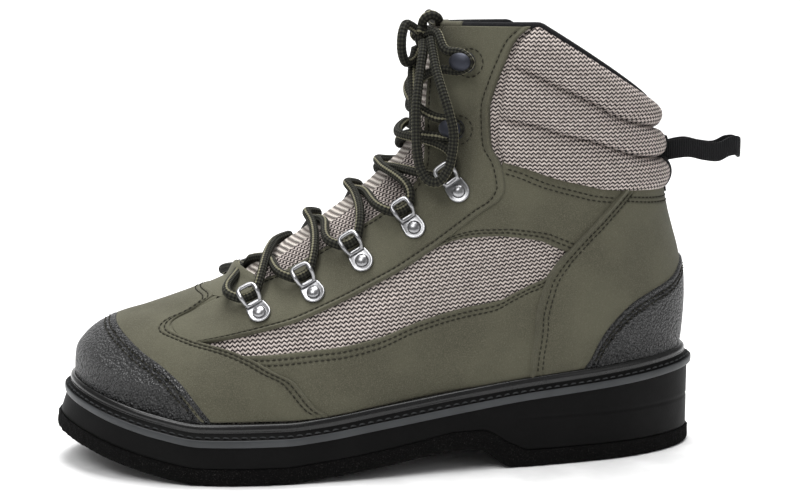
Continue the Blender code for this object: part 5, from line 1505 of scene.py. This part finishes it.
@dataclass
class Hardware:
    """D-ring eyelets and speed hooks of both sides."""

    ring_places: Table = ((5.65, 0.255), (6.49, 0.289), (7.51, 0.303), (8.59, 0.328), (9.95, 0.340))
    hook_places: Table = ((11.78, 0.258), (13.16, 0.256))
    ring_towards: Place = (-0.42, 0.62, 0.66)
    hook_towards: Place = (-0.85, 0.50, 0.10)
    ring_start: float = 0.0052
    ring_length: float = 0.0135
    ring_half: float = 0.0042
    wire: float = 0.00105
    lift: float = 0.0046
    seat_height: float = 0.0021
    hinge: float = 0.0013
    hinge_reach: float = 0.0056
    # the plate's reach towards the ring, its tail and its half width
    plate: Place = (0.0068, 0.0054, 0.0053)
    hook_shift: float = 0.0013
    hook_circle: float = 0.0068
    # radius, height
    hook_base: Table = (
        (0.0, 0.0), (0.0048, 0.0), (0.0051, 0.0003), (0.0049, 0.0008), (0.0040, 0.0011), (0.0024, 0.0014),
        (0.0017, 0.0022), (0.0016, 0.0042), (0.0020, 0.0058), (0.0030, 0.0065), (0.0, 0.0069),
    )

    def ring_seat(self, index: int, flip: int) -> Seat:
        """Where a ring's rivet sits."""
        v, share = self.ring_places[index]
        return Seat.at(v, share, flip, self.seat_height, self.ring_towards)

    def hook_seat(self, index: int, flip: int) -> Seat:
        """Where a hook's base sits."""
        v, share = self.hook_places[index]
        return Seat.at(v, share, flip, self.seat_height, self.hook_towards)

    def build(self, f: Finishes) -> None:
        """Make both sides' hardware."""
        for flip, name in ((1, "outer"), (-1, "inner")):
            for index in range(len(self.ring_places)):
                label = f"{name}_{index + 1}"
                self.ring(self.ring_seat(index, flip)).add("ring_" + label, [f.chrome], "bright_rings",
                                                           ["d_ring_" + label], 50)
            for index in range(len(self.hook_places)):
                label = f"{name}_{index + 1}"
                seat = self.hook_seat(index, flip)
                self.hook(seat).add("speed_hook_" + label, [f.gunmetal], "dark_hooks", ["hook_" + label], 50)
                self.hook_sewing(self.hook_places[index], flip).add(f"hook_stitches_{label}", [f.thread],
                                                                    "nubuck_panels")

    def ring(self, seat: Seat) -> Piece:
        """A teardrop plate with two arms to a wire loop, and a domed rivet."""
        far, wide = squarish(circle(96), 0.55)
        middle = (self.ring_length + self.ring_start) / 2
        along = middle + far * (self.ring_length - middle)
        height = self.hinge + self.lift * smoothstep(0.0048, 0.0088, along)
        loop = tube(seat.spread(along, wide * self.ring_half, height), self.wire, 12, True)
        plan = circle(48)
        square, tail, half = self.plate
        ahead = np.cos(plan) > 0
        reach = np.where(ahead, square * np.abs(np.cos(plan)) ** 0.45, tail * np.cos(plan))
        wide = half * np.sign(np.sin(plan)) * np.abs(np.sin(plan)) ** np.where(ahead, 0.45, 1.0)
        wide = wide * (1 - 0.10 * np.clip(reach / square, 0, 1))
        layers = ((0.96, -0.0003), (1.0, 0.0), (1.0, 0.0006), (0.97, 0.0009), (0.90, 0.00105), (0.84, 0.0009))
        plate = ring_stack(np.array([seat.spread(reach * size, wide * size, lift) for size, lift in layers]))
        roll = np.linspace(-0.0038, 0.0038, 8)
        hinge = tube(seat.spread(self.hinge_reach, roll, self.hinge), self.hinge, 14)
        reach = np.linspace(0, math.pi / 2, 9)
        dome = np.column_stack([0.0033 * np.cos(reach), 0.0010 + 0.0019 * np.sin(reach)])
        dome = np.vstack([[(0.0, 0.0006), (0.0034, 0.0006)], dome])
        rivet = turned(dome, seat.origin, seat.ahead, seat.across, seat.out, 28)
        return joined([plate, rivet, loop, hinge])

    def hook(self, seat: Seat) -> Piece:
        """A base plate, waisted stem and a rounded cap that stands off the shaft."""
        middle = seat.origin + seat.ahead * self.hook_shift
        base = turned(np.array(self.hook_base), middle, seat.ahead, seat.across, seat.out, 32)
        reach = np.linspace(-math.pi / 2, math.pi / 2, 15)
        profile = np.column_stack([np.cos(reach) ** 0.8 * 0.0054, 0.0073 + 0.0016 * np.sin(reach)])
        profile[[0, -1], 0] = 0.0
        profile[:, 1] -= 0.10 * profile[:, 0] ** 2 / 0.0054
        cap = turned(profile, middle, seat.ahead, seat.across, seat.out, 32, (1.04, 0.80))
        return joined([base, cap])

    def hook_sewing(self, where: tuple[float, ...], flip: int) -> Piece:
        """A ring of stitches round a hook's base."""
        seat = Seat.at(where[0], where[1], flip, 0.0024, self.hook_towards)
        angle = np.linspace(0, 2 * math.pi, 80)
        across, ahead = np.sin(angle)[:, None], np.cos(angle)[:, None]
        offset = self.hook_circle * (seat.ahead * ahead + seat.across * across) - seat.ahead * 0.0006
        line = seat.origin + offset
        line = line - seat.out * (np.sum(offset * offset, axis=1, keepdims=True) / 0.120)
        return Stitches(0.0030, 0.68, 0.00030).row(line, np.repeat(seat.out[None], len(line), axis=0))


@dataclass
class Lacing:
    """The round lace: two halves through rings and round hooks, the knot, loops and ends."""

    thickness: float = 0.0045
    step: float = 0.0009
    braid: float = 0.03
    knot_middle: Place = (-0.0952, -0.0040, 0.2031)
    crossings: tuple[float, ...] = (7.50, 8.50, 9.50, 10.40, 11.50, 12.60)
    spreads: tuple[float, ...] = (0.26, 0.0, 0.0, 0.06, 0.15, 0.15)
    # x, y, z
    hanging: Table = (
        (-0.0958, -0.0094, 0.2003), (-0.0968, -0.0145, 0.1962), (-0.0984, -0.0185, 0.1890),
        (-0.1003, -0.0230, 0.1800), (-0.1018, -0.0270, 0.1700), (-0.1022, -0.0295, 0.1600),
        (-0.1021, -0.0315, 0.1506), (-0.1002, -0.0330, 0.1413), (-0.0969, -0.0345, 0.1367),
        (-0.0928, -0.0355, 0.1363), (-0.0891, -0.0360, 0.1405), (-0.0861, -0.0362, 0.1503),
        (-0.0856, -0.0358, 0.1592), (-0.0876, -0.0345, 0.1689), (-0.0901, -0.0310, 0.1784),
        (-0.0918, -0.0255, 0.1865), (-0.0925, -0.0190, 0.1945), (-0.0928, -0.0125, 0.2022),
    )
    short: Table = (
        (-0.0977, -0.0043, 0.1972), (-0.1000, -0.0055, 0.1925), (-0.1040, -0.0090, 0.1908),
        (-0.1063, -0.0120, 0.1950), (-0.1068, -0.0130, 0.2006), (-0.1062, -0.0122, 0.2050),
        (-0.1042, -0.0098, 0.2088), (-0.1008, -0.0067, 0.2076), (-0.0975, -0.0045, 0.2050),
    )
    outer_end: Table = (
        (-0.0978, 0.0012, 0.1972), (-0.0990, 0.0000, 0.1925), (-0.1006, -0.0060, 0.1865),
        (-0.1014, -0.0125, 0.1790), (-0.1018, -0.0178, 0.1705), (-0.1021, -0.0215, 0.1620),
    )
    inner_end: Table = (
        (-0.0948, -0.0030, 0.2050), (-0.0957, -0.0052, 0.2084), (-0.0947, -0.0068, 0.2116),
        (-0.0918, -0.0074, 0.2132), (-0.0888, -0.0062, 0.2120), (-0.0872, -0.0024, 0.2101),
        (-0.0876, 0.0040, 0.2100), (-0.0888, 0.0130, 0.2120), (-0.0878, 0.0240, 0.2131),
        (-0.0840, 0.0350, 0.2080), (-0.0805, 0.0425, 0.1985), (-0.0795, 0.0450, 0.1850),
        (-0.0800, 0.0448, 0.1700), (-0.0810, 0.0440, 0.1550),
    )

    def over_tongue(self, v: float, share: float, lift: float) -> Array:
        """A point of the lace's middle line over the tongue or the shaft's panels."""
        panels = 0.0020 * float(smoothstep(11.0, 11.6, np.array(v)))
        face = max(float(PATTERN.tongue_face(np.array(v), np.array(share))), panels)
        return LAST.skin(np.array(v), np.array(share * math.pi), face + self.thickness / 2 + lift)

    def through_ring(self, seat: Seat) -> list[Array]:
        """Points along the throat's edge, under both arms of a ring, from its toe side to its heel side."""
        return [seat.place(0.0142, -0.0066, 0.0030), seat.place(0.0112, -0.0038, 0.0021),
                seat.place(0.0101, 0.0, 0.0020), seat.place(0.0106, 0.0037, 0.0021),
                seat.place(0.0128, 0.0060, 0.0028)]

    def round_hook(self, seat: Seat) -> list[Array]:
        """Points in under a hook's cap, round behind its stem and out again."""
        return [seat.place(0.0095, -0.0044, 0.0042), seat.place(0.0022, -0.0040, 0.0032),
                seat.place(-0.0026, 0.0, 0.0031), seat.place(0.0022, 0.0040, 0.0032),
                seat.place(0.0095, 0.0044, 0.0042)]

    def half(self, hardware: Hardware, start: int) -> Array:
        """One half's chosen points: from the bar before the first rings, side to side, to the knot."""
        points = [self.over_tongue(6.95, -0.03 * start, 0.0006),
                  self.over_tongue(6.88, 0.045 * start, 0.0006)]
        stations = [("ring", k) for k in range(5)] + [("hook", 0), ("hook", 1)]
        flip = start
        for k, (kind, index) in enumerate(stations):
            seat = hardware.ring_seat(index, flip) if kind == "ring" else hardware.hook_seat(index, flip)
            points += self.through_ring(seat) if kind == "ring" else self.round_hook(seat)
            if k < len(self.crossings):
                row, spread = self.crossings[k], self.spreads[k]
                slope = 0.25 + spread
                edge = float(PATTERN.throat(np.array(row)))
                upper = 1.0 if (k % 2 == 0) == (start > 0) else 0.0
                for side in (0.34 * flip, 0.0, -0.34 * flip):
                    near = max(0.0, 1 - 1.5 * abs(side - spread / slope))
                    lift = upper * self.thickness * 0.88 * near - 0.0006
                    points.append(self.over_tongue(row + flip * (spread - slope * side), edge * side, lift))
            flip = -flip
        middle = np.array(self.knot_middle)
        points.append(middle + np.array([0.0050, -0.0075 * start, 0.0020]))
        points.append(middle)
        return np.array(points)

    def cord_piece(self, name: str, route: Table, node: str, finish: Material) -> None:
        """A free stretch of lace."""
        path = smooth_route(np.array(route), self.step)
        thing = self.cord(path, self.thickness / 2).add(name, [finish], "braided_lace", [node], 60)

    def cord(self, path: Array, radius: float, closed: bool = False) -> Piece:
        """A braided cord along a path."""
        return tube(path, radius, 18, closed, self.braid)

    def build(self, f: Finishes, hardware: Hardware) -> None:
        """Make the lace."""
        for start, name, crossings in ((1, "outer", (1, 3, 5)), (-1, "inner", (2, 4, 6))):
            path = smooth_route(self.half(hardware, start), self.step)
            self.cord(path, self.thickness / 2 * 0.98).add(
                "lace_half_" + name, [f.braid], "braided_lace", [f"lace_cross_{k}" for k in crossings], 60)
        t = circle(160)
        trefoil = np.column_stack([np.sin(t) + 2 * np.sin(2 * t), -np.sin(3 * t) * 1.5,
                                   np.cos(t) - 2 * np.cos(2 * t)])
        knot = np.array(self.knot_middle) + trefoil * 0.00150
        self.cord(knot, 0.0021, True).add("bow_knot", [f.braid], "braided_lace", ["lace_knot"], 60)
        # name, route, node, far end, lay
        free = (("bow_loop_hanging", self.hanging, "lace_loop_hanging", "knot", "hanging"),
                ("bow_loop_short", self.short, "lace_loop_short", "knot", "loose"),
                ("lace_tail_outer", self.outer_end, "lace_end_outer", "bare", "hanging"),
                ("lace_tail_inner", self.inner_end, "lace_end_inner", "bare", "hanging"))
        for name, route, node, far, lay in free:
            self.cord_piece(name, route, node, f.braid)


@dataclass
class Studio:
    """Camera, pale floor and soft lights."""

    lens: float = 75.0
    eye: Place = (-0.2181, -0.7994, 0.2267)
    target: Place = (-0.1059, -0.0014, 0.0991)

    def build(self) -> None:
        """Set the camera, floor, lamps and the sky."""
        scene = bpy.context.scene
        data = bpy.data.cameras.new("camera")
        data.lens = self.lens
        data.sensor_width = 36.0
        data.clip_start = 0.01
        camera = bpy.data.objects.new("camera", data)
        camera.location = self.eye
        camera.rotation_euler = (Vector(self.target) - Vector(self.eye)).to_track_quat("-Z", "Y").to_euler()
        scene.collection.objects.link(camera)
        scene.camera = camera
        self.sweep()
        self.lamp("key", (-0.95, -0.95, 1.50), 0.8, 14.5)
        self.lamp("fill", (1.10, -1.20, 0.80), 0.9, 1.6)
        self.lamp("top", (-0.15, 0.10, 1.70), 1.2, 26.0)
        world = bpy.data.worlds.new("sky")
        world.use_nodes = True
        sky = world.node_tree.nodes["Background"]
        sky.inputs["Color"].default_value = (1.0, 1.0, 1.0, 1.0)
        sky.inputs["Strength"].default_value = 0.30
        scene.world = world
        scene.view_settings.view_transform = "Standard"

    def sweep(self) -> None:
        """White paper: a floor that curves up into a wall behind the boot, and a lamp for the wall."""
        bend = np.linspace(0, math.pi / 2, 24)
        y = np.concatenate([[-5.0], 1.6 + 0.9 * np.sin(bend), [2.5]])
        z = np.concatenate([[0.0], 0.9 - 0.9 * np.cos(bend), [3.5]])
        x = np.array([-5.0, 5.0])
        points = np.stack(np.broadcast_arrays(x[None], y[:, None], z[:, None]), axis=-1)
        paper = bpy.data.meshes.new("paper_sweep")
        paper.from_pydata(points.reshape(-1, 3).tolist(), [], grid_quads(len(y), 2).tolist())
        paper.shade_smooth()
        paper.materials.append(Brushed("paper", (0.88, 0.88, 0.88), 40, 0.0).material())
        floor = bpy.data.objects.new("paper_sweep", paper)
        bpy.context.scene.collection.objects.link(floor)
        self.lamp("wall", (0.0, 0.9, 2.6), 1.6, 60.0, (0.0, 2.3, 0.7))

    def lamp(self, name: str, place: Place, size: float, power: float,
             towards: Optional[Place] = None) -> None:
        """A square soft light that looks at the boot, or towards a chosen place."""
        data = bpy.data.lights.new(name, "AREA")
        data.size = size
        data.energy = power
        lamp = bpy.data.objects.new(name, data)
        lamp.location = place
        aim = Vector(towards or self.target) - Vector(place)
        lamp.rotation_euler = aim.to_track_quat("-Z", "Y").to_euler()
        bpy.context.scene.collection.objects.link(lamp)


def main() -> None:
    """Dress the boot."""
    logging.basicConfig(level=logging.INFO, format="%(name)s %(message)s")
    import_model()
    Studio().build()
    finishes = Finishes.made()
    hardware = Hardware()
    Lacing().build(finishes, hardware)
    Sole().build(finishes)
    Upper().build(finishes)
    hardware.build(finishes)


if __name__ == "__main__":
    main()
